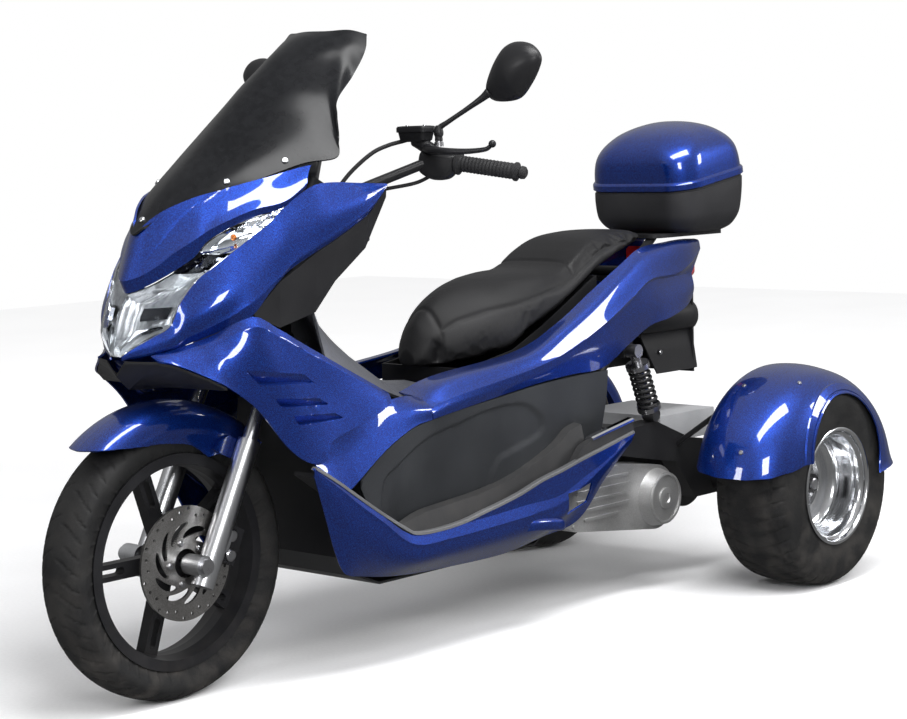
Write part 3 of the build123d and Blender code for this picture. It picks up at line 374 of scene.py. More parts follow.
# pebble: rounded cells with creases between them, roughened by noise, as on grained leather and moulded
# plastic
pebble, given, put = shaderGroup("pebble", {"Vector": None, "Cells": 600.0}, ("Height",))
drift = node(pebble, "TexNoise", {"Vector": given["Vector"], "Scale": 55.0, "Detail": 2.0})
bent = node(pebble, "VectorMath", {0: drift.outputs["Color"], 1: (0.006, 0.006, 0.006)}, operation="MULTIPLY")
moved = node(pebble, "VectorMath", {0: given["Vector"], 1: bent.outputs[0]}, operation="ADD")
edges = node(pebble, "TexVoronoi", {"Vector": moved.outputs[0], "Scale": given["Cells"]},
    feature="DISTANCE_TO_EDGE")
dome = node(pebble, "MapRange", {"Value": edges.outputs["Distance"], "From Max": 0.28},
    interpolation_type="SMOOTHSTEP")
put(Height=dome.outputs[0])

# rings: the sine of the distance from a wheel's axle, which lies along Y, with a little noise so that no two
# lines are alike
rings, given, put = shaderGroup("rings", {"Vector": None, "Pitch": 1500.0, "Smooth": 0.1, "Dull": 0.3},
    ("Roughness", "Height"))
flat = node(rings, "VectorMath", {0: given["Vector"], 1: (1.0, 0.0, 1.0)}, operation="MULTIPLY")
away = node(rings, "VectorMath", {0: flat.outputs[0]}, operation="LENGTH")
waver = node(rings, "TexNoise", {"Vector": given["Vector"], "Scale": 30.0})
phase = node(rings, "Math", {0: away.outputs["Value"], 1: given["Pitch"], 2: waver.outputs[0]},
    operation="MULTIPLY_ADD")
wave = node(rings, "Math", {0: phase.outputs[0]}, operation="SINE")
lines = node(rings, "MapRange", {"Value": wave.outputs[0], "From Min": -1.0})
shine = node(rings, "MapRange",
    {"Value": lines.outputs[0], "To Min": given["Smooth"], "To Max": given["Dull"]})
put(Roughness=shine.outputs[0], Height=lines.outputs[0])

# roadDust: pale dust that fades out with height above the ground, broken up by noise
roadDust, given, put = shaderGroup("roadDust",
    {"Vector": None, "Under": grey, "Dust": (0.16, 0.14, 0.12, 1.0), "Top": 0.3, "Amount": 0.4}, ("Color",))
height = node(roadDust, "SeparateXYZ", {"Vector": given["Vector"]})
low = node(roadDust, "MapRange",
    {"Value": height.outputs["Z"], "From Min": given["Top"], "From Max": 0.0, "To Max": given["Amount"]})
patch = node(roadDust, "TexNoise", {"Vector": given["Vector"], "Scale": 22.0, "Detail": 6.0})
spread = node(roadDust, "MapRange", {"Value": patch.outputs[0], "From Min": 0.42, "From Max": 0.72})
amount = node(roadDust, "Math", {0: low.outputs[0], 1: spread.outputs[0]}, operation="MULTIPLY")
dusty = node(roadDust, "Mix", {0: amount.outputs[0], 6: given["Under"], 7: given["Dust"]}, data_type="RGBA")
put(Color=dusty.outputs[2])


def newMaterial(name, metallic=0.0, **sockets):
    # a Principled material and the Object coordinates; plain numbers go onto the shader's own sockets
    material = bpy.data.materials.new(name)
    material.use_nodes = True
    tree = material.node_tree
    shader = tree.nodes["Principled BSDF"]
    shader.inputs["Metallic"].default_value = metallic
    for key, value in sockets.items():
        shader.inputs[key.replace("_", " ")].default_value = value
    return material, tree, shader, node(tree, "TexCoord").outputs["Object"]


def place(tree, group, **sockets):
    # one use of a shared group with its own values
    used = tree.nodes.new("ShaderNodeGroup")
    used.node_tree = group
    for key, value in sockets.items():
        if isinstance(value, bpy.types.NodeSocket):
            tree.links.new(value, used.inputs[key])
        else:
            used.inputs[key].default_value = value
    return used.outputs


def bumped(tree, shader, height, strength, distance):
    # a height as a bump on the shader's normal
    bump = node(tree, "Bump", {"Height": height, "Strength": strength, "Distance": distance})
    tree.links.new(bump.outputs[0], shader.inputs["Normal"])


def mottled(name, dark, light, smooth, dull, fine, broad, strength=0.0, metallic=0.0, stretch=(1, 1, 1),
    cells=0, dust=0.0, dustTop=0.3, **sockets):
    # most finishes: a mottle, stretched along the brushing where there is any, pebbled where there are cells,
    # dusty low down
    material, tree, shader, where = newMaterial(name, metallic, **sockets)
    grain = node(tree, "Mapping", {"Vector": where, "Scale": stretch}).outputs[0] if stretch != (1, 1,
        1) else where
    got = place(tree, mottle, Vector=grain, Fine=fine, Broad=broad, Dark=(*dark, 1), Light=(*light, 1),
        Smooth=smooth, Dull=dull)
    colour = place(tree, roadDust, Vector=where, Under=got["Color"], Amount=dust,
        Top=dustTop)["Color"] if dust else got["Color"]
    tree.links.new(colour, shader.inputs["Base Color"])
    tree.links.new(got["Roughness"], shader.inputs["Roughness"])
    if strength:
        bumped(tree, shader,
            place(tree, pebble, Vector=where, Cells=cells)["Height"] if cells else got["Height"], strength,
            0.0004)
    return material


def flaked(name, deep, bright, cells, metallic):
    # lacquer over metal flakes
    material, tree, shader, where = newMaterial(name, metallic, Coat_Weight=1.0, Coat_Roughness=0.03,
        Coat_IOR=1.6)
    got = place(tree, flake, Vector=where, Cells=cells, Deep=(*deep, 1), Bright=(*bright, 1))
    tree.links.new(got["Color"], shader.inputs["Base Color"])
    tree.links.new(got["Roughness"], shader.inputs["Roughness"])
    bumped(tree, shader, got["Height"], 0.02, 0.0005)
    return material


def lathed(name, dark, light, axle, pitch, smooth, dull, strength):
    # turned metal: rings about an axle that lies along Y
    material, tree, shader, where = newMaterial(name, 1.0)
    centred = node(tree, "Mapping", {"Vector": where, "Location": tuple(-a for a in axle)}).outputs[0]
    got = place(tree, rings, Vector=centred, Pitch=pitch, Smooth=smooth, Dull=dull)
    colour = place(tree, mottle, Vector=where, Fine=260.0, Broad=14.0, Dark=(*dark, 1), Light=(*light, 1))
    tree.links.new(colour["Color"], shader.inputs["Base Color"])
    tree.links.new(got["Roughness"], shader.inputs["Roughness"])
    bumped(tree, shader, got["Height"], strength, 0.0002)
    return material


bluePaint = flaked("bluePaint", (0.002, 0.004, 0.10), (0.006, 0.085, 0.52), 1500.0, 0.85)
blackSatin = mottled("blackSatin", (0.007, 0.007, 0.008), (0.013, 0.013, 0.014), 0.36, 0.46, 900.0, 7.0, 0.10,
    Specular_IOR_Level=0.25)
blackTextured = mottled("blackTextured", (0.010, 0.010, 0.011), (0.020, 0.020, 0.022), 0.46, 0.58, 700.0, 9.0,
    0.32, cells=520.0, Specular_IOR_Level=0.25)
darkPanel = mottled("darkPanel", (0.015, 0.016, 0.018), (0.028, 0.030, 0.033), 0.44, 0.56, 800.0, 6.0, 0.30,
    cells=640.0, Specular_IOR_Level=0.25)
# the tunnel cover: the dark panel's grain, less rough, in a lighter grey that is painted light, standing in
# for the light its left face catches
tunnelSatinPaintedLight = mottled("tunnelSatinPaintedLight", (0.045, 0.047, 0.056), (0.070, 0.072, 0.082), 0.34, 0.44, 800.0, 6.0,
    0.15, cells=640.0)
trimGrey = mottled("trimGrey", (0.060, 0.061, 0.064), (0.095, 0.096, 0.100), 0.42, 0.54, 600.0, 9.0, 0.15,
    cells=700.0)
footRubber = mottled("footRubber", (0.010, 0.010, 0.011), (0.018, 0.018, 0.019), 0.60, 0.74, 520.0, 10.0,
    0.25, dust=0.12, dustTop=0.5)
smokedScreen = mottled("smokedScreen", (0.004, 0.0042, 0.005), (0.008, 0.0084, 0.0095), 0.20, 0.30, 60.0, 3.0,
    Specular_IOR_Level=0.14)
clearLens = mottled("clearLens", (0.90, 0.93, 0.96), (0.97, 0.98, 1.0), 0.0, 0.04, 30.0, 6.0,
    Transmission_Weight=1.0, IOR=1.12)
bulbGlass = mottled("bulbGlass", (0.84, 0.87, 0.9), (0.93, 0.95, 0.97), 0.04, 0.12, 90.0, 20.0,
    Transmission_Weight=0.7, IOR=1.3)
amberGlass = mottled("amberGlass", (0.62, 0.16, 0.03), (0.75, 0.24, 0.05), 0.06, 0.14, 90.0, 20.0,
    Transmission_Weight=0.6, IOR=1.3)
chrome = mottled("chrome", (0.76, 0.78, 0.80), (0.88, 0.89, 0.91), 0.04, 0.10, 180.0, 16.0, metallic=1.0)
darkChrome = mottled("darkChrome", (0.05, 0.055, 0.065), (0.15, 0.155, 0.17), 0.08, 0.16, 120.0, 30.0,
    metallic=1.0)
lampSilver = mottled("lampSilver", (0.30, 0.31, 0.32), (0.50, 0.51, 0.52), 0.28, 0.44, 70.0, 14.0, 0.10,
    metallic=0.9)
redLens = mottled("redLens", (0.34, 0.006, 0.008), (0.46, 0.012, 0.012), 0.08, 0.16, 240.0, 20.0, 0.15,
    Coat_Weight=1.0)
tyreRubber = mottled("tyreRubber", (0.006, 0.006, 0.0065), (0.014, 0.014, 0.014), 0.55, 0.70, 320.0, 14.0,
    0.14, dust=0.14, dustTop=0.5, Specular_IOR_Level=0.2)
castBlack = mottled("castBlack", (0.009, 0.009, 0.010), (0.017, 0.017, 0.019), 0.30, 0.42, 620.0, 12.0, 0.08,
    metallic=0.25, dust=0.08, Specular_IOR_Level=0.25)
polishedAlloy = lathed("polishedAlloy", (0.66, 0.67, 0.69), (0.82, 0.83, 0.85), (-0.82, 0, 0.245), 2600.0,
    0.10, 0.24, 0.05)
discSteel = lathed("discSteel", (0.34, 0.33, 0.32), (0.50, 0.49, 0.48), (0.84, 0, 0.28), 3600.0, 0.22, 0.42,
    0.08)
satinAlloy = mottled("satinAlloy", (0.50, 0.51, 0.53), (0.64, 0.65, 0.67), 0.24, 0.36, 500.0, 12.0, 0.05,
    metallic=1.0, stretch=(1, 1, 0.06))
groundSteel = mottled("groundSteel", (0.42, 0.42, 0.44), (0.56, 0.56, 0.58), 0.22, 0.36, 600.0, 18.0, 0.06,
    metallic=1.0)
mirrorGlass = mottled("mirrorGlass", (0.74, 0.76, 0.78), (0.80, 0.82, 0.84), 0.02, 0.05, 40.0, 5.0,
    metallic=1.0)
frameBlack = mottled("frameBlack", (0.008, 0.008, 0.009), (0.015, 0.015, 0.016), 0.34, 0.48, 420.0, 11.0,
    0.08, dust=0.10, Specular_IOR_Level=0.25)
castAlloy = mottled("castAlloy", (0.40, 0.40, 0.40), (0.55, 0.55, 0.55), 0.34, 0.48, 420.0, 12.0, 0.22,
    metallic=0.85, dust=0.2)
gripRubber = mottled("gripRubber", (0.009, 0.009, 0.010), (0.016, 0.016, 0.017), 0.58, 0.72, 700.0, 20.0, 0.2,
    Specular_IOR_Level=0.25)


def seamedLeather(name, nose, flank, smooth, dull):
    # one hide in two shades: the piece's own attribute says where the grained flanks are
    material, tree, shader, where = newMaterial(name, Specular_IOR_Level=0.25)
    shades = [place(tree, mottle, Vector=where, Fine=500.0, Broad=8.0, Dark=(*dark, 1), Light=(*light, 1),
        Smooth=smooth, Dull=dull) for dark, light in (nose, flank)]
    flanks = node(tree, "Attribute", attribute_name="flank").outputs["Fac"]
    hide = node(tree, "Mix", {0: flanks, 6: shades[0]["Color"], 7: shades[1]["Color"]}, data_type="RGBA")
    tree.links.new(hide.outputs[2], shader.inputs["Base Color"])
    tree.links.new(shades[1]["Roughness"], shader.inputs["Roughness"])
    bumped(tree, shader, place(tree, pebble, Vector=where, Cells=420.0)["Height"], 0.22, 0.0004)
    return material


seatLeather = seamedLeather("seatLeather", ((0.004, 0.004, 0.0045), (0.009, 0.009, 0.010)),
    ((0.009, 0.009, 0.010), (0.017, 0.017, 0.018)), 0.46, 0.6)
axleGrey = mottled("axleGrey", (0.34, 0.345, 0.36), (0.46, 0.465, 0.48), 0.36, 0.50, 500.0, 10.0, 0.10,
    metallic=0.3, dust=0.15)

slotFinish = {
    "blue_paint": bluePaint, "black_plastic": blackSatin, "grey_plastic": darkPanel, "clear_lens": clearLens,
    "smoked_screen": smokedScreen, "red_lens": redLens, "tyre_rubber": tyreRubber, "black_cast": castBlack,
    "polished_alloy": polishedAlloy, "fork_alloy": satinAlloy, "steel": groundSteel,
    "frame_steel": frameBlack,
    "engine_alloy": castAlloy, "grip_rubber": gripRubber, "seat_cover": seatLeather, "axle_grey": axleGrey,
}
for part in frame["record"]["subparts"]:
    obj = nodes[part["node"]]
    obj.data.materials.clear()
    obj.data.materials.append(slotFinish[part["material_slot"]])
# the tunnel cover takes the lighter grey, painted light on its lit face
nodes["tunnel_cover"].data.materials[0] = tunnelSatinPaintedLight
print("finishes on", len(slotFinish), "slots")

# Painted panels of the nose

cowl = {
    "wall": 0.004, "rows": 110, "facets": ((0, 2, 26), (2, 3, 5)),
    # x, then (y, z) of the upper edge, the belly, the lower crease and the turned-in edge
    "stations": (
        (944, (18, 697), (18, 695), (17.5, 692), (17, 690)),
        (932, (37, 712), (39, 706), (38, 698), (34, 693)),
        (908, (73, 735), (80, 722), (80, 708), (74, 702)),
        (886, (98, 755), (112, 738), (108, 718), (95, 710)),
        (870, (112, 800), (132, 768), (126, 732), (109, 715)),
        (842, (129, 841), (157, 790), (152, 748), (132, 728)),
        (808, (149, 870), (177, 815), (178, 768), (160, 744)),
        (766, (169, 902), (192, 842), (203, 794), (197, 768)),
        (722, (178, 930), (200, 876), (208, 824), (205, 812)),
        (698, (183, 944), (204, 893), (210, 840), (206, 831)),
        (664, (191, 974), (209, 922), (213, 865), (208, 855)),
        (600, (198, 1011), (214, 953), (215, 893), (210, 883)),
        (541, (197, 1020), (216, 968), (217, 918), (212, 908)),
        (453, (203, 1016), (216, 990), (218, 960), (214, 951)),
        (386, (206, 1013), (209, 1011), (210, 1009), (208, 1006)),
    ),
}
cowlGrid = creasedSheet(stations(cowl["stations"]), cowl["rows"], cowl["facets"])
piece("sideCowls", mirrored(*shell(*sheetMesh(cowlGrid), cowl["wall"])), bluePaint, "chassis",
    ("front_cowls",))

beak = {
    "wall": 0.004, "rows": 121, "facets": ((0, 2, 30), (2, 3, 6)), "splitDepth": 0.0014, "splitWidth": 0.022,
    # points at the screen's edge, the crown, the lip's crease and the lens edge, from the middle to the left
    "points": (
        ((880, 0, 938), (901, 0, 886), (920, 0, 842), (910, 0, 817)),
        ((873, 16, 949), (889, 25, 896), (904, 31, 850), (896, 29, 827)),
        ((860, 28, 963), (864, 48, 915), (880, 55, 868), (873, 53, 842)),
        ((836, 50, 981), (838, 67, 936), (858, 77, 891), (853, 73, 858)),
        ((795, 80, 1000), (806, 93, 958), (824, 104, 917), (820, 98, 884)),
        ((760, 100, 1010), (782, 108, 968), (803, 116, 932), (800, 112, 912)),
        ((715, 128, 1023), (745, 132, 982), (774, 138, 950), (769, 134, 935)),
        ((660, 156, 1037), (690, 161, 1002), (720, 167, 973), (716, 161, 958)),
        ((615, 178, 1050), (637, 184, 1016), (662, 193, 987), (661, 188, 976)),
        ((585, 190, 1056), (598, 194, 1036), (606, 200, 1020), (607, 197, 1012)),
    ),
}
beakGrid = creasedSheet(acrossCentre(np.array(beak["points"], float) * mm), beak["rows"], beak["facets"])
beakVerts, beakFaces = sheetMesh(beakGrid)
# a fine split line climbs from the lip's middle to the screen's edge on each side
along = np.abs(np.linspace(-1, 1, beak["rows"]))[:, None]
down = np.linspace(0, 1, beakGrid.shape[1])[None, :]
splitLine = np.exp(-((down - 0.78 + 1.35 * along) / beak["splitWidth"]) ** 2) * np.clip((along - 0.08) * 12,
    0, 1)
beakVerts = beakVerts - pointNormals(beakVerts, beakFaces) * (splitLine * beak["splitDepth"]).reshape(-1, 1)
piece("beakCover", shell(beakVerts, beakFaces, beak["wall"]), bluePaint, "chassis",
    ("front_beak",))

lens = {
    "wall": 0.003, "perLevel": 10, "cols": 41,
    # z, then (x, y) from the inner edge outwards
    "levels": (
        (697, (949, 0), (948.6, 5), (947.5, 10), (945, 16)),
        (712, (953, 0), (952, 14), (946, 27), (932, 36)),
        (735, (951, 0), (949, 26), (936, 52), (908, 72)),
        (752, (947, 0), (944, 30), (926, 64), (886, 96)),
        (776, (939, 0), (936, 30), (917, 66), (880, 103)),
        (800, (927, 0), (924, 30), (905, 68), (870, 110)),
        (817, (912, 0), (909, 24), (893, 66), (860, 116)),
        (826, (898, 25), (892, 48), (879, 82), (853, 121)),
        (837, (882, 47), (876, 72), (865, 98), (845, 126)),
        (857, (853, 72), (848, 96), (839, 118), (823, 140)),
        (875, (829, 91), (824, 112), (815, 132), (801, 151)),
        (893, (812, 103), (806, 122), (794, 143), (774, 163)),
        (912, (799, 112), (790, 131), (771, 153), (744, 172)),
        (935, (769, 134), (758, 148), (738, 164), (708, 179)),
        (953, (734, 152), (723, 162), (706, 174), (684, 185)),
        (965, (695, 172), (689, 177), (681, 183), (670, 188)),
        (975, (662, 187), (661, 188), (660, 189), (659, 190)),
    ),
}
lensControl = np.array([[(x, y, z) for x, y in plan] for z, *plan in lens["levels"]], float) * mm
lensGrid = smoothSheet(lensControl, (len(lens["levels"]) - 1) * lens["perLevel"] + 1, lens["cols"])
lensGrid[..., 1] = np.maximum(lensGrid[..., 1], 0)
lensMesh = welded(*mirrored(*sheetMesh(lensGrid)))
piece("headlampLens", shell(*lensMesh, lens["wall"]), clearLens, "chassis", ("headlamp_lens",))
lensNormals = pointNormals(*sheetMesh(lensGrid)).reshape(lensGrid.shape)
lensWidth = np.linalg.norm(lensGrid[:, -1] - lensGrid[:, 0], axis=1)[:, None]


def behindLens(levels, cols, sink, wall):
    # a patch of the lens, moved in along its normals by a depth worked out from the shares along and across
    # it;
    # narrow stretches take less of the depth
    rows = slice(int(levels[0] * lens["perLevel"]), int(levels[1] * lens["perLevel"]) + 1)
    across = slice(int(cols[0] * (lens["cols"] - 1)), int(cols[1] * (lens["cols"] - 1)) + 1)
    patch = lensGrid[rows, across]
    u = np.linspace(0, 1, patch.shape[0])[:, None]
    v = np.linspace(0, 1, patch.shape[1])[None, :]
    depth = sink(u, v) * mm * np.clip(lensWidth[rows] / 0.075, 0.15, 1)
    patch = patch - lensNormals[rows, across] * depth[..., None]
    patch[..., 1] = np.maximum(patch[..., 1], 0.0008)
    return shell(*sheetMesh(patch), wall)


def facets(across, along, depth, rise):
    # tilted planes: a saw tooth along, and one of alternating sense across
    def sink(u, v):
        row, col = u * along, v * across
        tilt = (row % 1) * np.where(np.floor(col) % 2 == 0, 1,
            -0.7) + (col % 1) * np.where(np.floor(row) % 2 == 0, 0.8, -0.8)
        return depth + rise * tilt
    return sink


lamp = {
    # levels and columns of the lens that each part lies behind, in shares of the table's rows and of the
    # width
    "main": ((0, 9), (0, 1)), "strip": ((8.9, 11.1), (0, 1)), "oval": ((11, 12.8), (0, 1)),
    "turn": ((12.7, 16), (0, 1)),
    "shade": ((3.7, 4.7), (0.56, 0.94)), "wedge": ((1.6, 2.9), (0.56, 0.76)),
    "block": ((2.0, 2.8), (0.80, 0.95)),
}
bowl = lambda u, v: 6 + 26 * np.sin(np.pi * v) ** 0.8 * np.sin(np.pi
    * u) ** 0.6 + 1.1 * np.abs(np.sin(8 * np.pi * v)) * np.sin(np.pi * u)
mainBowl = behindLens(*lamp["main"], bowl, 0.002)
piece("lampReflectors", mirrored(*mainBowl), lampSilver, "chassis", ("headlamp_housing",),
    sharp=20)
darkParts = joined(behindLens(*lamp["strip"], facets(3, 3, 9, 5), 0.002),
    behindLens(*lamp["shade"], lambda u, v: 9 + 3 * v + 0 * u, 0.009),
    behindLens(*lamp["block"], lambda u, v: 7 + 4 * v + 0 * u, 0.006))
piece("lampShades", mirrored(*darkParts), darkChrome, "chassis", sharp=12)
brightParts = joined(
    behindLens(*lamp["oval"], lambda u, v: 5 + 11 * np.sin(np.pi * v) * np.sin(np.pi * u), 0.002),
    behindLens(*lamp["turn"], facets(3, 5, 7, 5), 0.002),
    behindLens(*lamp["wedge"], lambda u, v: 6 + 5 * v - 2 * u, 0.006),
)
piece("lampFacets", mirrored(*brightParts), chrome, "chassis", sharp=12)
lensEdge = tubeAlong(lensGrid[4::4, -1] / mm - (3, 2, 0), 2.2, 120, 10)
piece("lensTrim", mirrored(*lensEdge), chrome, "chassis")
bulb = {"main": ((906, 39, 773), (0.86, 0.42, 0.12), 26, 7),
    "turn": ((762, 150, 922), (0.6, 0.7, 0.34), 16, 6)}
bulbs = {key: turned(((-length, radius * 0.8), (-length * 0.3, radius), (-2, radius * 0.8),
    (0, radius * 0.3)), spot, 20, facing) for key, (spot, facing, length, radius) in bulb.items()}
piece("lampBulbs", mirrored(*bulbs["main"]), bulbGlass, "chassis")
piece("turnBulbs", mirrored(*bulbs["turn"]), amberGlass, "chassis")
print("nose panels and lamps")

# Leg shields with their louvres, and the tongue behind them

legShield = {
    "wall": 0.004, "rows": 155, "facets": ((0, 1, 7), (1, 3, 52)),
    # x, then (y, z) of the top edge, the bright facet's crease, the belly and the lower edge
    "stations": (
        (915, (70, 699), (76, 696), (84, 693), (92, 690)),
        (890, (92, 707), (99, 702), (112, 692), (124, 680)),
        (853, (122, 721), (134, 711), (158, 685), (180, 652)),
        (822, (148, 735), (164, 722), (184, 690), (194, 632)),
        (766, (196, 768), (208, 748), (212, 690), (207, 586)),
        (700, (205, 738), (211, 722), (218, 630), (219, 505)),
        (655, (205, 714), (212, 700), (220, 600), (232, 470)),
        (616, (206, 693), (212, 680), (220, 590), (238, 468)),
        (592, (206, 681), (212, 669), (219, 592), (233, 503)),
        (554, (206, 661), (211, 650), (218, 590), (229, 516)),
        (484, (204, 626), (209, 616), (216, 580), (224, 531)),
        (419, (201, 594), (206, 586), (211, 573), (217, 551)),
        (392, (199, 581), (203, 577), (206, 571), (209, 563)),
    ),
    # louvres in side view: lower front, upper front, upper rear and lower rear corners
    "louvres": (
        ((761, 634), (794, 666), (650, 646), (619, 625)),
        ((712, 586), (731, 605), (612, 594), (585, 578)),
        ((671, 546), (688, 566), (572, 560), (548, 547)),
    ),
    # pocket: depth at the lower front corner, shares taken by the lower and front walls, overlap behind the
    # skin
    "depth": 15, "lowerWall": 0.17, "frontWall": 0.05, "overlap": 1.02,
}


def onSheet(verts, x, z):
    # y of a sheet at side-view places: its four nearest points, each weighted by its inverse distance
    gap = np.hypot(verts[None, :, 0] - x.reshape(-1, 1), verts[None, :, 2] - z.reshape(-1, 1))
    near = np.argpartition(gap, 4, axis=1)[:, :4]
    weight = 1 / (np.take_along_axis(gap, near, axis=1) + 1e-6)
    return (np.sum(verts[near, 1] * weight, axis=1) / weight.sum(axis=1)).reshape(x.shape)


shieldGrid = creasedSheet(stations(legShield["stations"]), legShield["rows"], legShield["facets"])
shieldSheet = sheetMesh(shieldGrid)
shieldVerts = shieldSheet[0]
u = np.concatenate([[0, 0.5 * legShield["frontWall"]], np.linspace(legShield["frontWall"], 1, 36)])[:, None]
v = np.concatenate([np.linspace(1, legShield["lowerWall"], 12), [0.5 * legShield["lowerWall"], 0]])[None, :]
# deepest at the lower front corner, running out to nothing at the top and the rear
pocketDepth = np.minimum(u / legShield["frontWall"],
    1) * (1 - u) ** 0.5 * np.minimum(v / legShield["lowerWall"], 1) * (1 - v) / (1 - legShield["lowerWall"])
pockets = []
for corners in np.array(legShield["louvres"], float) * mm:
    shieldSheet = cutOut(*shieldSheet, corners)
    a, b, c, d = corners.mean(axis=0) + (corners - corners.mean(axis=0)) * legShield["overlap"]
    # bilinear between the four corners
    flat = ((1 - u) * (1 - v))[..., None] * a + ((1 - u) * v)[..., None] * b + (u * v)[...,
        None] * c + (u * (1 - v))[..., None] * d
    y = onSheet(shieldVerts, flat[..., 0], flat[..., 1]) - 0.0004 - pocketDepth * legShield["depth"] * mm
    pockets.append(shell(*sheetMesh(np.stack([flat[..., 0], y, flat[..., 1]], axis=-1)), 0.002))
shieldMesh = mirrored(*joined(shell(*shieldSheet, legShield["wall"]), *pockets))

tongue = {
    "wall": 0.004, "rows": 60, "cols": 20,
    "stations": (
        (640, (232, 470), (234, 464), (239, 455)),
        (600, (228, 500), (233, 466), (242, 429)),
        (560, (224, 520), (229, 474), (243, 404)),
        (525, (221, 530), (227, 482), (242, 420)),
        (470, (215, 543), (224, 502), (237, 452)),
        (413, (207, 562), (220, 522), (232, 480)),
        (340, (194, 567), (219, 540), (227, 506)),
        (286, (186, 560), (221, 540), (226, 513)),
    ),
}
tongueMesh = mirrored(*shell(*sheetMesh(smoothSheet(stations(tongue["stations"]), tongue["rows"],
    tongue["cols"])), tongue["wall"]))
piece("legShields", joined(shieldMesh, tongueMesh), bluePaint, "chassis", ("leg_shields",),
    sharp=24)
print("leg shields with", len(legShield["louvres"]), "louvres a side")

# Skirts along the footboards, with the open triangle in front of each rear strut

skirt = {
    "wall": 0.004, "rows": 155, "facets": ((0, 1, 6), (1, 3, 33)),
    "stations": (
        (650, (238, 460), (240, 456), (240, 450), (238, 441)),
        (612, (239, 436), (244, 428), (242, 400), (226, 355)),
        (573, (240, 412), (246, 400), (241, 345), (212, 272)),
        (536, (242, 386), (248, 371), (241, 300), (202, 223)),
        (470, (245, 342), (251, 325), (243, 262), (192, 205)),
        (380, (247, 285), (253, 265), (245, 226), (188, 190)),
        (258, (248, 282), (254, 260), (244, 222), (184, 181)),
        (27, (248, 292), (254, 268), (244, 228), (182, 177)),
        (-103, (247, 302), (252, 277), (246, 240), (196, 198)),
        (-200, (247, 334), (251, 314), (245, 285), (224, 226)),
        (-289, (246, 368), (249, 352), (246, 335), (238, 314)),
        (-382, (246, 409), (248, 402), (247, 397), (245, 388)),
    ),
    "triangle": ((-134, 298), (-180, 303), (-224, 313), (-222, 290), (-216, 266), (-176, 256), (-134, 249)),
}
skirtVerts, skirtFaces = sheetMesh(creasedSheet(stations(skirt["stations"]), skirt["rows"], skirt["facets"]))
skirtMesh = shell(*cutOut(skirtVerts, skirtFaces, np.array(skirt["triangle"], float) * mm), skirt["wall"])
piece("sideSkirts", mirrored(*skirtMesh), bluePaint, "chassis", ("side_skirts",), sharp=24)

pegPod = {
    # folded pillion peg: distance behind its pivot, sideways, up, half width, half height
    "pivot": (16, 242, 238),
    "sections": ((0, 6, 2, 10, 9), (26, -1, 5, 14, 13), (76, -5, 1, 15, 14), (120, -4, -6, 14, 14),
        (138, 2, -10, 9, 9)),
}
piece("pillionPegs", mirrored(*podAlong(pegPod["pivot"], (-1, 0, 0), pegPod["sections"])), bluePaint,
    "chassis")

sidePanel = {
    "wall": 0.004, "rows": 150, "cols": 44, "recess": 5, "soft": 8,
    # x, then (y, z) of the top edge, the middle and the lower edge
    "stations": (
        (516, (240, 416), (238, 408), (234, 400)),
        (470, (236, 449), (230, 400), (224, 331)),
        (413, (231, 477), (222, 400), (205, 292)),
        (340, (226, 503), (212, 420), (178, 271)),
        (208, (220, 521), (200, 420), (168, 276)),
        (61, (213, 534), (196, 430), (168, 281)),
        (-92, (206, 547), (192, 440), (168, 286)),
        (-254, (198, 553), (188, 470), (170, 374)),
        (-360, (194, 553), (188, 490), (172, 412)),
    ),
    # arch of the shallow pocket in side view, closed below the panel's edge
    "pocket": ((442, 398), (385, 435), (289, 478), (191, 496), (90, 513), (-3, 516), (-66, 504), (-119, 467),
        (-112, 429), (-10, 401), (28, 388), (50, 344), (60, 250), (250, 230), (420, 300)),
}
panelVerts, panelFaces = sheetMesh(smoothSheet(stations(sidePanel["stations"]), sidePanel["rows"],
    sidePanel["cols"]))
pocketLine = throughPoints(np.array(sidePanel["pocket"], float), 90, closed=True) * mm
flat = panelVerts[:, [0, 2]]
inward = np.clip(np.linalg.norm(flat - nearestOnOutline(flat, pocketLine), axis=1) / (sidePanel["soft"] * mm),
    0, 1)
# a smooth step from the pocket's line inwards
sunk = insideOutline(flat, pocketLine) * inward ** 2 * (3 - 2 * inward)
panelVerts = panelVerts - pointNormals(panelVerts, panelFaces) * (sunk * sidePanel["recess"] * mm)[:, None]
piece("sidePanels", mirrored(*shell(panelVerts, panelFaces, sidePanel["wall"])), darkPanel, "chassis",
    ("side_panels",))

